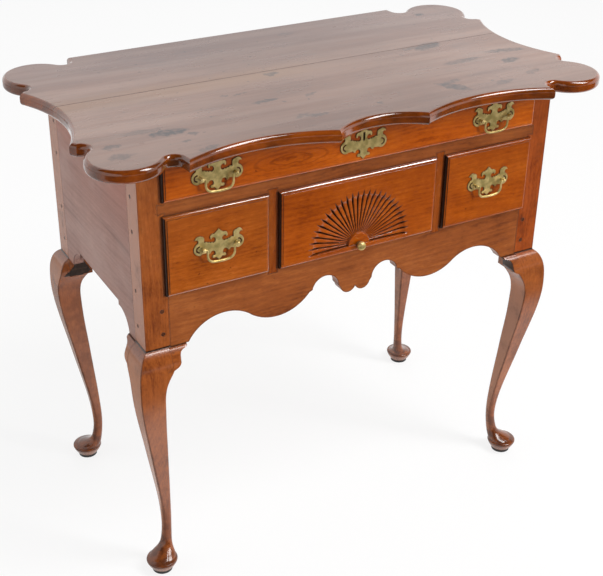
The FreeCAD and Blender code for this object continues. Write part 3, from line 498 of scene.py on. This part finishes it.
# painted sheen: the side panels' pale faded colours also stand in for the sheen of their finish
cherry_side = wood("cherry_side", "Y", *FADED_WITH_SHEEN, gloss=0.30, figure=1.2, specular=0.4, joints=1.0,
                   paint=side_wear)
cherry_top = wood("cherry_top", "X", *CHERRY, gloss=0.28, figure=1.1, specular=0.37, paint=top_wear)
raw_dark = wood("raw_dark", "X", *RAW, gloss=0.6, specular=0.4)
peg_dark = wood("peg_dark", "Y", *tinted(BROWN, 0.35), gloss=0.4, joints=1.0)
pine_long = wood("pine_long", "X", *PINE, gloss=0.62, figure=1.6, dirt_and_shade_strength=0.5, specular=0.3)
pine_deep = wood("pine_deep", "Y", *PINE, gloss=0.62, figure=1.6, dirt_and_shade_strength=0.5, specular=0.3)


# Metal and the black glides

# radius within which metal is rubbed, and the reach of the dirt and painted shade in its corners
METAL_EDGE = 0.0006
METAL_CORNER = 0.006


def metal(name, bright, dull, dirt_and_shade_colour, gloss, bare):
    """Old cast metal: rubbed bright on the edges, dull on the faces, dark with dirt and painted shade in the
    corners.
    """
    shader = Shader(name)
    place = shader.place()
    bevel = shader.bevel(METAL_EDGE, samples=6)
    edge = shader.turned(bevel, shader.normal())
    cloud = shader.noise(place, 90.0, 3.0, 0.6)
    colour = shader.mix(shader.step(cloud, 0.3, 0.7), dull, bright)
    colour = shader.mix(shader.times(shader.step(edge, 0.01, 0.12), 0.8), colour, bright)
    # dirt and painted shade in the corners
    dirt_and_shade = shader.step(shader.air(METAL_CORNER), 0.25, 0.85, 0.92, 0.0)
    colour = shader.mix(dirt_and_shade, colour, dirt_and_shade_colour)
    rough = shader.math("MULTIPLY_ADD", cloud, 0.25, gloss - 0.12)
    pits = shader.bump(shader.noise(place, 900.0, 2.0), bevel, 0.2, 0.0002)
    return shader.finish(colour, rough, pits, Metallic=bare)


def matt_black(name):
    shader = Shader(name)
    wear = shader.noise(shader.place(), 180.0, 4.0, 0.6)
    colour = shader.mix(shader.step(wear, 0.45, 0.75), (0.012, 0.011, 0.010), (0.045, 0.040, 0.036))
    return shader.finish(colour, shader.math("MULTIPLY_ADD", wear, 0.3, 0.45), shader.bevel(0.001))


brass = metal("brass", (0.84, 0.65, 0.28), (0.48, 0.36, 0.120), (0.015, 0.010, 0.004), 0.36, 0.7)
iron = metal("iron", (0.22, 0.20, 0.18), (0.10, 0.09, 0.085), (0.02, 0.017, 0.015), 0.5, 0.9)
glide_black = matt_black("glide_black")


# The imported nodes: a look by the whole name, or by its start, or by a part of it, or else brass

BY_NAME = {
    "top_pins": cherry_top, "joint_pegs": peg_dark, "front_apron": cherry_apron, "drawer_rail": cherry_rail,
    "top_rail": cherry_rail, "upper_drawer_front": cherry_upper, "left_drawer_front": cherry_left,
    "upper_runners": pine_deep, "lower_runners": pine_deep, "divider_runners": pine_deep,
    "back_panel": pine_long, "foot_glides": glide_black,
}
BY_START = {"top_board": cherry_top, "leg_": cherry_leg, "knee_blocks": cherry_leg, "divider_": cherry_up,
            "side_panel": cherry_side, "lock_": iron}
BY_PART = {"_front": cherry_front, "_side_": pine_deep, "_back": pine_long, "_bottom": pine_long}


def look_of(node):
    if node in BY_NAME:
        return BY_NAME[node]
    for start, look in BY_START.items():
        if node.startswith(start):
            return look
    for part, look in BY_PART.items():
        if part in node:
            return look
    return brass


for node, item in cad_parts.items():
    item.data.materials.clear()
    item.data.materials.append(look_of(node))


def shown(name, mesh, look, body, sharp=40):
    """Turn a bmesh into an object that rides on a body."""
    data = bpy.data.meshes.new(name)
    mesh.to_mesh(data)
    mesh.free()
    data.materials.append(look)
    data.polygons.foreach_set("use_smooth", [True] * len(data.polygons))
    data.set_sharp_from_angle(angle=math.radians(sharp))
    item = bpy.data.objects.new(name, data)
    scene.collection.objects.link(item)
    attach(item, body)
    return item


# Fan drawer front: a lipped board with a dished half fan of 27 rays, in millimetres

# the raised field's face, and its left, low, right and high edge
FACE = -201.0
FIELD = (-149.1, 580.4, 149.1, 709.6)
# the hub, the edge round it, and how deep it lies
HUB = 20.5
HUB_EDGE = 1.5
HUB_DEPTH = 1.5
# the dish rises slowly as far as its turn and then quickly to its end
DISH_DEEP = 5.8
DISH_SHALLOW = 2.5
DISH_TURN = 86.0
DISH_END = 93.5
# how much higher a ray's middle lies than its edges: it grows with the radius and fades out at the end
CROWN = 1.1
CROWN_RATE = 0.012
CROWN_END = 94.0
CROWN_FADE = 4.0
# half width of a groove: a limit, a share of the pitch, a flare towards the tips, then a taper to the end
GROOVE_HALF = 1.8
GROOVE_SHARE = 0.30
FLARE = 0.6
FLARE_START = 78.0
FLARE_LENGTH = 14.0
GROOVE_TAPER = 92.0
GROOVE_END = 103.0
# a groove's depth for its half width, and the length in which it gets that deep beside the hub
GROOVE_SLOPE = 1.8
GROOVE_RUN = 6.0
# where the polar grid ends, and how much of the way to the field's edge it may take
GRID_END = 103.5
GRID_SHARE = 0.96
# parts of one ray, and the grid's angles below the fan, in degrees
RAY_PARTS = 14
BELOW = [1.1, 2.151, 4, 7, 12, 20, 30, 42, 55, 68]
# the lip round the field: its front, the flat and the round of its rim, and its back
LIP_FRONT = -200.0
LIP_FLAT = 1.4
LIP_ROUND = 5.0
LIP_BACK = -193.0
# the board behind the lip: its back, half width, half height and middle
BOARD_BACK = -179.0
BOARD_HALF_WIDE = 148.9
BOARD_HALF_HIGH = 64.4
BOARD_MIDDLE = 643.5


def fan_depth(radius, angle):
    """How far the carving lies behind the face."""
    if radius < HUB:
        return HUB_DEPTH
    turn = angle / PITCH
    share = abs(turn - math.floor(turn) - 0.5)
    if radius < DISH_TURN:
        dish = DISH_DEEP - (DISH_DEEP - DISH_SHALLOW) * (radius - HUB) / (DISH_TURN - HUB)
    else:
        rest = max(0.0, (DISH_END - radius) / (DISH_END - DISH_TURN))
        dish = DISH_SHALLOW * rest ** 0.6
    if radius < HUB + HUB_EDGE:
        dish = HUB_DEPTH + (dish - HUB_DEPTH) * (radius - HUB) / HUB_EDGE
    crown = min(CROWN, CROWN_RATE * radius) * (4 * share * share - 0.25)
    crown *= clamp((CROWN_END - radius) / CROWN_FADE)
    off_groove = (0.5 - share) * PITCH * radius
    half_width = min(GROOVE_HALF, GROOVE_SHARE * PITCH * radius)
    half_width += FLARE * clamp((radius - FLARE_START) / FLARE_LENGTH)
    if radius > GROOVE_TAPER:
        half_width *= max(0.05, (GROOVE_END - radius) / (GROOVE_END - GROOVE_TAPER))
    cut = GROOVE_SLOPE * half_width * clamp((radius - HUB + 1) / GROOVE_RUN)
    if radius > GROOVE_END:
        cut = 0.0
    groove = cut * max(0.0, 1 - off_groove / half_width)
    return max(0.0, dish + crown + groove)


def fan_board():
    """The carved field, the lip round it and the board behind them, as one closed mesh."""
    mesh = bmesh.new()
    left, low, right, high = FIELD

    def vertex(x, y, z):
        return mesh.verts.new((x * MM, y * MM, z * MM))

    def reach(angle):
        """Distance from the fan's middle to the edge of the field."""
        c, s = math.cos(angle), math.sin(angle)
        across = (right if c > 0 else left) / c if abs(c) > 1e-9 else 1e9
        upward = ((high if s > 0 else low) - FAN_Z) / s if abs(s) > 1e-9 else 1e9
        return min(across, upward)

    # polar grid over the field, finer where the rays are
    angles = [PITCH * (ray + part / RAY_PARTS) for ray in range(RAYS) for part in range(RAY_PARTS)]
    angles.append(math.pi)
    upper = len(angles)
    below = [180 - step for step in BELOW] + [90] + BELOW[::-1]
    angles += [-math.radians(step) for step in below]
    count = len(angles)
    radii = [3, 8, 14, 18, HUB - 0.4, HUB, HUB + 0.6, HUB + HUB_EDGE, HUB + 3]
    radii += [26 + 2.5 * step for step in range(24)]
    radii += [85, DISH_TURN, 87.2, 88.5, 90, 91.5, 92.7, DISH_END, 94.5, 96, 98, 100, 102, GRID_END]
    corners = [math.atan2(z - FAN_Z, x) for x in (left, right) for z in (low, high)]
    middle = vertex(0, FACE + HUB_DEPTH, FAN_Z)
    rings = []
    for radius in radii:
        ring = []
        for place, angle in enumerate(angles):
            here = min(radius, radius / GRID_END * GRID_SHARE * reach(angle))
            depth = fan_depth(radius, angle) if place < upper else 0.0
            ring.append(vertex(here * math.cos(angle), FACE + depth, FAN_Z + here * math.sin(angle)))
        rings.append(ring)
    inner_border = []
    border = []
    for angle in angles:
        nearest = min(corners, key=lambda corner: abs(corner - angle))
        if abs(nearest - angle) < 0.5 * PITCH / RAY_PARTS:
            angle = nearest
        for share, ring in ((0.994, inner_border), (1.0, border)):
            here = share * reach(angle)
            ring.append(vertex(here * math.cos(angle), FACE, FAN_Z + here * math.sin(angle)))
    rings += [inner_border, border]
    for place in range(count):
        after = (place + 1) % count
        mesh.faces.new((middle, rings[0][after], rings[0][place]))
        for inner, outer in zip(rings, rings[1:]):
            mesh.faces.new((inner[place], inner[after], outer[after], outer[place]))

    # lip with a rounded rim, then the board behind it
    loops = [(0.25, FACE + 0.1), (0.4, FACE + 0.4), (0.4, LIP_FRONT), (LIP_FLAT, LIP_FRONT)]
    for turn in range(15, 91, 15):
        angle = math.radians(turn)
        loops.append((LIP_FLAT + LIP_ROUND * math.sin(angle), LIP_FRONT + LIP_ROUND * (1 - math.cos(angle))))
    loops.append((LIP_FLAT + LIP_ROUND, LIP_BACK))
    half_wide = (right - left) / 2
    half_high = (high - low) / 2
    centre = (low + high) / 2
    outlines = [(half_wide + grow, half_high + grow, centre, y) for grow, y in loops]
    outlines += [(BOARD_HALF_WIDE, BOARD_HALF_HIGH, BOARD_MIDDLE, y) for y in (LIP_BACK, BOARD_BACK)]
    last = border
    for outline_wide, outline_high, outline_middle, y in outlines:
        loop = []
        for vert in border:
            x = vert.co.x / MM * outline_wide / half_wide
            z = outline_middle + (vert.co.z / MM - centre) * outline_high / half_high
            loop.append(vertex(x, y, z))
        for place in range(count):
            after = (place + 1) % count
            mesh.faces.new((last[place], last[after], loop[after], loop[place]))
        last = loop
    back = vertex(0, BOARD_BACK, BOARD_MIDDLE)
    for place in range(count):
        mesh.faces.new((last[place], last[(place + 1) % count], back))
    bmesh.ops.recalc_face_normals(mesh, faces=mesh.faces)
    return mesh


fan_front = shown("fan_carved_front", fan_board(), cherry_fan, "fan_drawer")
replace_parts(fan_front, "fan_drawer_front")


# Bails: drawn brass wire, thicker in the hand's place, that hangs from the two posts of a pull

BAIL_HALF = 24.0 * MM
BAIL_TURN = 12.0 * MM
BAIL_BEND = 2.6 * MM
# how far the ends and the quarters of the grip lie above its middle
BAIL_BOW = 0.8 * MM
BAIL_QUARTER_BOW = 0.3 * MM
# how much thicker the wire is at the bottom, and the share of the drop where that is reached
BAIL_SWELL = 0.28
BAIL_SWOLLEN = 0.8
WIRE_SIDES = 14


def wire(path, radii):
    """A closed tube along a path in the XZ plane, with a radius for each point."""
    mesh = bmesh.new()
    rings = []
    for place, (point, radius) in enumerate(zip(path, radii)):
        before = path[max(place - 1, 0)]
        after = path[min(place + 1, len(path) - 1)]
        along = (after - before).normalized()
        outward = Vector((along.z, 0, -along.x))
        ring = []
        for side in range(WIRE_SIDES):
            turn = 2 * math.pi * side / WIRE_SIDES
            spoke = math.cos(turn) * outward + math.sin(turn) * Vector((0, 1, 0))
            ring.append(mesh.verts.new(point + radius * spoke))
        rings.append(ring)
    for first, second in zip(rings, rings[1:]):
        for side in range(WIRE_SIDES):
            after = (side + 1) % WIRE_SIDES
            mesh.faces.new((first[side], first[after], second[after], second[side]))
    mesh.faces.new(rings[0])
    mesh.faces.new(reversed(rings[-1]))
    bmesh.ops.recalc_face_normals(mesh, faces=mesh.faces)
    return mesh


def bail_wire(node):
    """From one pin down, round and along to the other, a little bowed at the bottom."""
    low, high = (Vector(corner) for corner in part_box(node))
    thin = (high.y - low.y) / 2
    middle = Vector(((low.x + high.x) / 2, (low.y + high.y) / 2, high.z - thin))
    drop = middle.z - low.z - (1 + BAIL_SWELL) * thin
    half = [((high.x - low.x) / 2, 0.0), (BAIL_HALF + BAIL_BEND, 0.0)]
    for step in range(1, 7):
        turn = math.radians(90 * step / 6)
        half.append((BAIL_HALF + BAIL_BEND * (1 - math.sin(turn)), -BAIL_BEND * (1 - math.cos(turn))))
    for step in range(13):
        turn = math.radians(90 * step / 12)
        half.append((BAIL_HALF - BAIL_TURN * (1 - math.cos(turn)),
                     -drop + BAIL_BOW + BAIL_TURN * (1 - math.sin(turn))))
    half.append((0.6 * (BAIL_HALF - BAIL_TURN), -drop + BAIL_QUARTER_BOW))
    whole = half + [(0.0, -drop)] + [(-x, z) for x, z in reversed(half)]
    path = [middle + Vector((x, 0, z)) for x, z in whole]
    radii = [thin * (1 + BAIL_SWELL * clamp(-z / (BAIL_SWOLLEN * drop))) for x, z in whole]
    return wire(path, radii)


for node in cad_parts:
    if node.startswith("bail_"):
        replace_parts(shown(f"{node}_wire", bail_wire(node), brass, node), node)


# Knee blocks: they carry the knee's swell along the apron and the sides and end in a stepped curve

# in millimetres: half the case's width, its front and rear, and the top of the knees
HALF = 400.0
FRONT = -193.0
REAR = 225.0
KNEE = 477.0
# how far the block reaches from the leg's corner, at heights down from the knee's top
BLOCK_ENDS = [(0.0, 72.4), (3.6, 72.0), (5.6, 63.5), (8.5, 58.8), (13, 56.8), (20, 56.0), (26, 55.8),
              (30, 53.6), (33, 49.5), (35, 45.0), (36.5, 41.0)]
BLOCK_ROWS = 30
BLOCK_COLUMNS = 10
# where a block starts beside the leg, and how thick it is behind the case's face
BLOCK_START = 40.0
BLOCK_BEHIND = 16.0
# how far it stays below the knee's top, and how far it stands out beyond the knee
BLOCK_GAP = 0.3
BLOCK_PROUD = 0.3
# from this drop on it starts further in, by so much for each millimetre down
BLOCK_TOE = 30.0
BLOCK_TOE_RATE = 1.6
# how far its outer end is rounded off, and over what length
BLOCK_ROUND = 1.8
BLOCK_ROUND_LENGTH = 2.2
# the columns lie closer together towards the outer end
COLUMN_POWER = 1.6
# rays that look for the knee's face start so far before it, and so far in from the leg's outer side
PROBE_AWAY = 200.0
PROBE_INSET = 15.0


def between(table, value):
    """The table's second number where its first one is the value."""
    for (before, first), (after, last) in zip(table, table[1:]):
        if value <= after:
            return first + (last - first) * (value - before) / (after - before)
    return table[-1][1]


def knee_swell(drop):
    """How far the front leg's knee stands out from the post, at a height below its top."""
    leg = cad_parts["leg_front_left"]
    start = Vector((-HALF + PROBE_INSET, FRONT - PROBE_AWAY, KNEE - drop)) * MM
    hit, place, _, _ = leg.ray_cast(start, Vector((0, 1, 0)))
    return FRONT - place.y / MM if hit else 0.0


def knee_block(mesh, corner, along, outward):
    """One block: its face follows the knee, and its outer end is rounded."""
    corner, along, outward = Vector(corner), Vector(along), Vector(outward)
    face = []
    back = []
    for row in range(BLOCK_ROWS + 1):
        drop = BLOCK_GAP + (BLOCK_ENDS[-1][0] - BLOCK_GAP) * row / BLOCK_ROWS
        swell = knee_swell(max(drop, 1.0)) + BLOCK_PROUD
        start = BLOCK_START - BLOCK_TOE_RATE * max(0.0, drop - BLOCK_TOE)
        end = between(BLOCK_ENDS, drop)
        face_row = []
        back_row = []
        for column in range(BLOCK_COLUMNS + 1):
            share = column / BLOCK_COLUMNS
            reach = start + (end - start) * (1 - (1 - share) ** COLUMN_POWER)
            round_off = BLOCK_ROUND * max(0.0, 1 - (end - reach) / BLOCK_ROUND_LENGTH) ** 2
            place = corner + reach * along + Vector((0, 0, KNEE - drop))
            face_row.append(mesh.verts.new((place + (swell - round_off) * outward) * MM))
            back_row.append(mesh.verts.new((place - BLOCK_BEHIND * outward) * MM))
        face.append(face_row)
        back.append(back_row)
    for row in range(BLOCK_ROWS):
        below = row + 1
        for column in range(BLOCK_COLUMNS):
            beside = column + 1
            for grid in (face, back):
                mesh.faces.new((grid[row][column], grid[row][beside],
                                grid[below][beside], grid[below][column]))
        for column in (0, BLOCK_COLUMNS):
            mesh.faces.new((face[row][column], face[below][column], back[below][column], back[row][column]))
    for column in range(BLOCK_COLUMNS):
        beside = column + 1
        for row in (0, BLOCK_ROWS):
            mesh.faces.new((face[row][column], face[row][beside], back[row][beside], back[row][column]))


def knee_blocks(places):
    """Blocks in one mesh, each given by the leg's corner, the way it runs and the way it faces."""
    mesh = bmesh.new()
    for corner, along, outward in places:
        knee_block(mesh, corner, along, outward)
    bmesh.ops.recalc_face_normals(mesh, faces=mesh.faces)
    return mesh


front_blocks = knee_blocks([((-HALF, FRONT, 0), (1, 0, 0), (0, -1, 0)),
                            ((HALF, FRONT, 0), (-1, 0, 0), (0, -1, 0))])
side_blocks = knee_blocks([((-HALF, FRONT, 0), (0, 1, 0), (-1, 0, 0)),
                           ((HALF, FRONT, 0), (0, 1, 0), (1, 0, 0)),
                           ((HALF, REAR, 0), (0, -1, 0), (1, 0, 0))])
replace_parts(shown("knee_blocks_front_shaped", front_blocks, block_front, "case", sharp=50),
            "knee_blocks_front")
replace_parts(shown("knee_blocks_side_shaped", side_blocks, block_side, "case", sharp=50),
            "knee_blocks_side")


# The seat of the lost knee block at the left rear: raw dark wood with torn edges, in millimetres

SEAT = [(-413, 440), (-398, 452), (-391.5, 458), (-388, 470), (-381, 464), (-377, 474), (-370, 463),
        (-359, 443), (-366, 439), (-378, 438), (-396, 438.5)]
# the grid over the seat: its left and low corner, columns, rows and step
SEAT_LEFT = -415
SEAT_LOW = 436
SEAT_COLUMNS = 40
SEAT_ROWS = 26
SEAT_STEP = 1.5
# where rays start that look for the leg's inner face, and where the face is taken to be if they miss it
SEAT_PROBE = REAR - 120
SEAT_FACE = REAR - 43.5
# how far the seat stands out, how uneven it is, and how far it goes into the wood
SEAT_LIFT = 0.5
SEAT_ROUGH = 0.9
SEAT_SUNK = 1.5


def inside(outline, x, z):
    """Whether a point lies inside a closed outline."""
    crossings = 0
    for (x0, z0), (x1, z1) in zip(outline, outline[1:] + outline[:1]):
        if (z0 > z) != (z1 > z) and x < x0 + (x1 - x0) * (z - z0) / (z1 - z0):
            crossings += 1
    return crossings % 2 == 1


def torn_seat():
    """A thin ragged patch on the leg's inner face."""
    mesh = bmesh.new()
    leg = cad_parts["leg_rear_left"]
    pairs = {}

    def pair(column, row):
        """The raised and the sunk vertex at a point of the grid."""
        if (column, row) not in pairs:
            x = SEAT_LEFT + SEAT_STEP * column
            z = SEAT_LOW + SEAT_STEP * row
            hit, place, _, _ = leg.ray_cast(Vector((x, SEAT_PROBE, z)) * MM, Vector((0, 1, 0)))
            depth = place.y / MM if hit else SEAT_FACE
            lift = SEAT_LIFT + SEAT_ROUGH * noise.noise(Vector((0.35 * x, 0, 0.11 * z)))
            pairs[column, row] = [mesh.verts.new(Vector((x, depth - lift, z)) * MM),
                                  mesh.verts.new(Vector((x, depth + SEAT_SUNK, z)) * MM)]
        return pairs[column, row]

    cells = {(column, row) for column in range(SEAT_COLUMNS) for row in range(SEAT_ROWS)
             if inside(SEAT, SEAT_LEFT + SEAT_STEP * (column + 0.5), SEAT_LOW + SEAT_STEP * (row + 0.5))}
    for column, row in cells:
        ring = [pair(column, row), pair(column + 1, row), pair(column + 1, row + 1), pair(column, row + 1)]
        mesh.faces.new([raised for raised, _ in ring])
        mesh.faces.new([sunk for _, sunk in reversed(ring)])
        neighbours = [(column, row - 1), (column + 1, row), (column, row + 1), (column - 1, row)]
        for side, neighbour in enumerate(neighbours):
            if neighbour not in cells:
                first, second = ring[side], ring[(side + 1) % 4]
                mesh.faces.new((first[0], second[0], second[1], first[1]))
    bmesh.ops.recalc_face_normals(mesh, faces=mesh.faces)
    return mesh


shown("torn_block_seat", torn_seat(), raw_dark, "case", sharp=60)


# Stage: a white floor in a white room, cards that only reflections see, a low sun and three softboxes

# half the floor's width, how much it glows to the eye, how bright the room lights the part
FLOOR_HALF = 14
FLOOR_GLOW = 0.82
ROOM_LEVEL = 0.46
# the point that the softboxes face
AIM = Vector((0, 0, 0.7))


def sheet(name, corners):
    """One flat face with four corners."""
    mesh = bpy.data.meshes.new(name)
    mesh.from_pydata(corners, [], [(0, 1, 2, 3)])
    item = bpy.data.objects.new(name, mesh)
    scene.collection.objects.link(item)
    return item


def white_rays(shader):
    """One for rays from the camera and for what metal and glass show of the background."""
    rays = shader.add("ShaderNodeLightPath").outputs
    return shader.largest(rays["Is Camera Ray"], rays["Is Glossy Ray"], rays["Is Transmission Ray"])


floor = sheet("floor", [(-FLOOR_HALF, -FLOOR_HALF, 0), (FLOOR_HALF, -FLOOR_HALF, 0),
                        (FLOOR_HALF, FLOOR_HALF, 0), (-FLOOR_HALF, FLOOR_HALF, 0)])
floor_look = Shader("floor_white")
paper = floor_look.add("ShaderNodeBsdfDiffuse", {"Color": (0.86, 0.86, 0.86)})
glow = floor_look.add("ShaderNodeEmission", {"Color": (1.0, 1.0, 1.0), "Strength": 1.0})
both = floor_look.add("ShaderNodeMixShader", {"Fac": floor_look.times(white_rays(floor_look), FLOOR_GLOW)})
floor_look.feed(both.inputs[1], paper.outputs[0])
floor_look.feed(both.inputs[2], glow.outputs[0])
floor_look.add("ShaderNodeOutputMaterial", {"Surface": both.outputs[0]})
floor.data.materials.append(floor_look.block)

room = Shader("studio", bpy.data.worlds)
brightness = room.step(white_rays(room), 0.0, 1.0, ROOM_LEVEL, 1.0)
white = room.add("ShaderNodeBackground", {"Color": (1, 1, 1), "Strength": brightness})
room.add("ShaderNodeOutputWorld", {"Surface": white.outputs[0]})
scene.world = room.block


def card(name, low, high, grey):
    """A flat sheet between two corners that only reflections see. It stands up where both share a y."""
    if low[1] == high[1]:
        last = (low[0], low[1], high[2])
    else:
        last = (low[0], high[1], low[2])
    item = sheet(name, [low, (high[0], low[1], low[2]), high, last])
    item.data.materials.append(Shader(name).finish((grey, grey, grey), 0.9, Specular_IOR_Level=0.1))
    item.visible_camera = False
    item.visible_diffuse = False
    item.visible_shadow = False


# the fronts mirror dark cards before and above them and not the white room, the left side a grey one
card("dark_card", (-2.5, -3.6, 0.002), (3.5, -0.55, 0.002), 0.03)
card("grey_card", (-4.0, -0.55, 0.002), (-0.42, 4.0, 0.002), 0.62)
card("ceiling_card", (-5.0, -8.0, 4.2), (7.0, 1.6, 4.2), 0.03)
card("front_card", (-5.0, -8.0, 0.0), (7.0, -8.0, 4.2), 0.03)


def lamp(name, kind, toward, mirrored):
    """A light that shines from a direction, seen in reflections or not."""
    light = bpy.data.lights.new(name, kind)
    item = bpy.data.objects.new(name, light)
    item.rotation_mode = "QUATERNION"
    item.rotation_quaternion = Vector(toward).to_track_quat("Z", "Y")
    item.visible_glossy = mirrored
    scene.collection.objects.link(item)
    return item


def softbox(name, toward, distance, wide, high, level, mirrored):
    """A large soft light whose brightness is given as seen by the eye."""
    item = lamp(name, "AREA", toward, mirrored)
    item.location = AIM + distance * Vector(toward).normalized()
    item.data.shape = "RECTANGLE"
    item.data.size = wide
    item.data.size_y = high
    item.data.energy = level * math.pi * wide * high


key = lamp("key", "SUN", (0.68, -0.72, 0.14), mirrored=False)
key.data.energy = 2.3
key.data.angle = math.radians(9)
softbox("front_softbox", (0.43, -0.465, 0.735), 3.0, 0.9, 1.9, 14.0, mirrored=True)
softbox("left_softbox", (-0.90, 0.25, 0.22), 3.0, 2.4, 2.0, 1.5, mirrored=False)
softbox("rear_softbox", (0.43, 0.76, 0.49), 4.0, 4.0, 2.6, 1.0, mirrored=False)


# Camera: its place, turn and focal length were fitted to the photo's edges

CAMERA_PLACE = (-0.9854, -1.7430, 1.5228)
YAW = math.radians(29.48)
TILT = math.radians(-29.3)
ROLL = math.radians(0.84)
SENSOR = 36
FOCAL_PIXELS = 1185.03
IMAGE_WIDTH = 603

forward = Vector((math.sin(YAW) * math.cos(TILT), math.cos(YAW) * math.cos(TILT), math.sin(TILT)))
level_right = Vector((math.cos(YAW), -math.sin(YAW), 0))
level_up = level_right.cross(forward)
right = math.cos(ROLL) * level_right + math.sin(ROLL) * level_up
up = math.cos(ROLL) * level_up - math.sin(ROLL) * level_right
lens = bpy.data.cameras.new("camera")
lens.sensor_width = SENSOR
lens.lens = SENSOR * FOCAL_PIXELS / IMAGE_WIDTH
camera = bpy.data.objects.new("camera", lens)
turn = Matrix((right, up, -forward)).transposed().to_4x4()
camera.matrix_world = Matrix.Translation(CAMERA_PLACE) @ turn
scene.collection.objects.link(camera)
scene.camera = camera
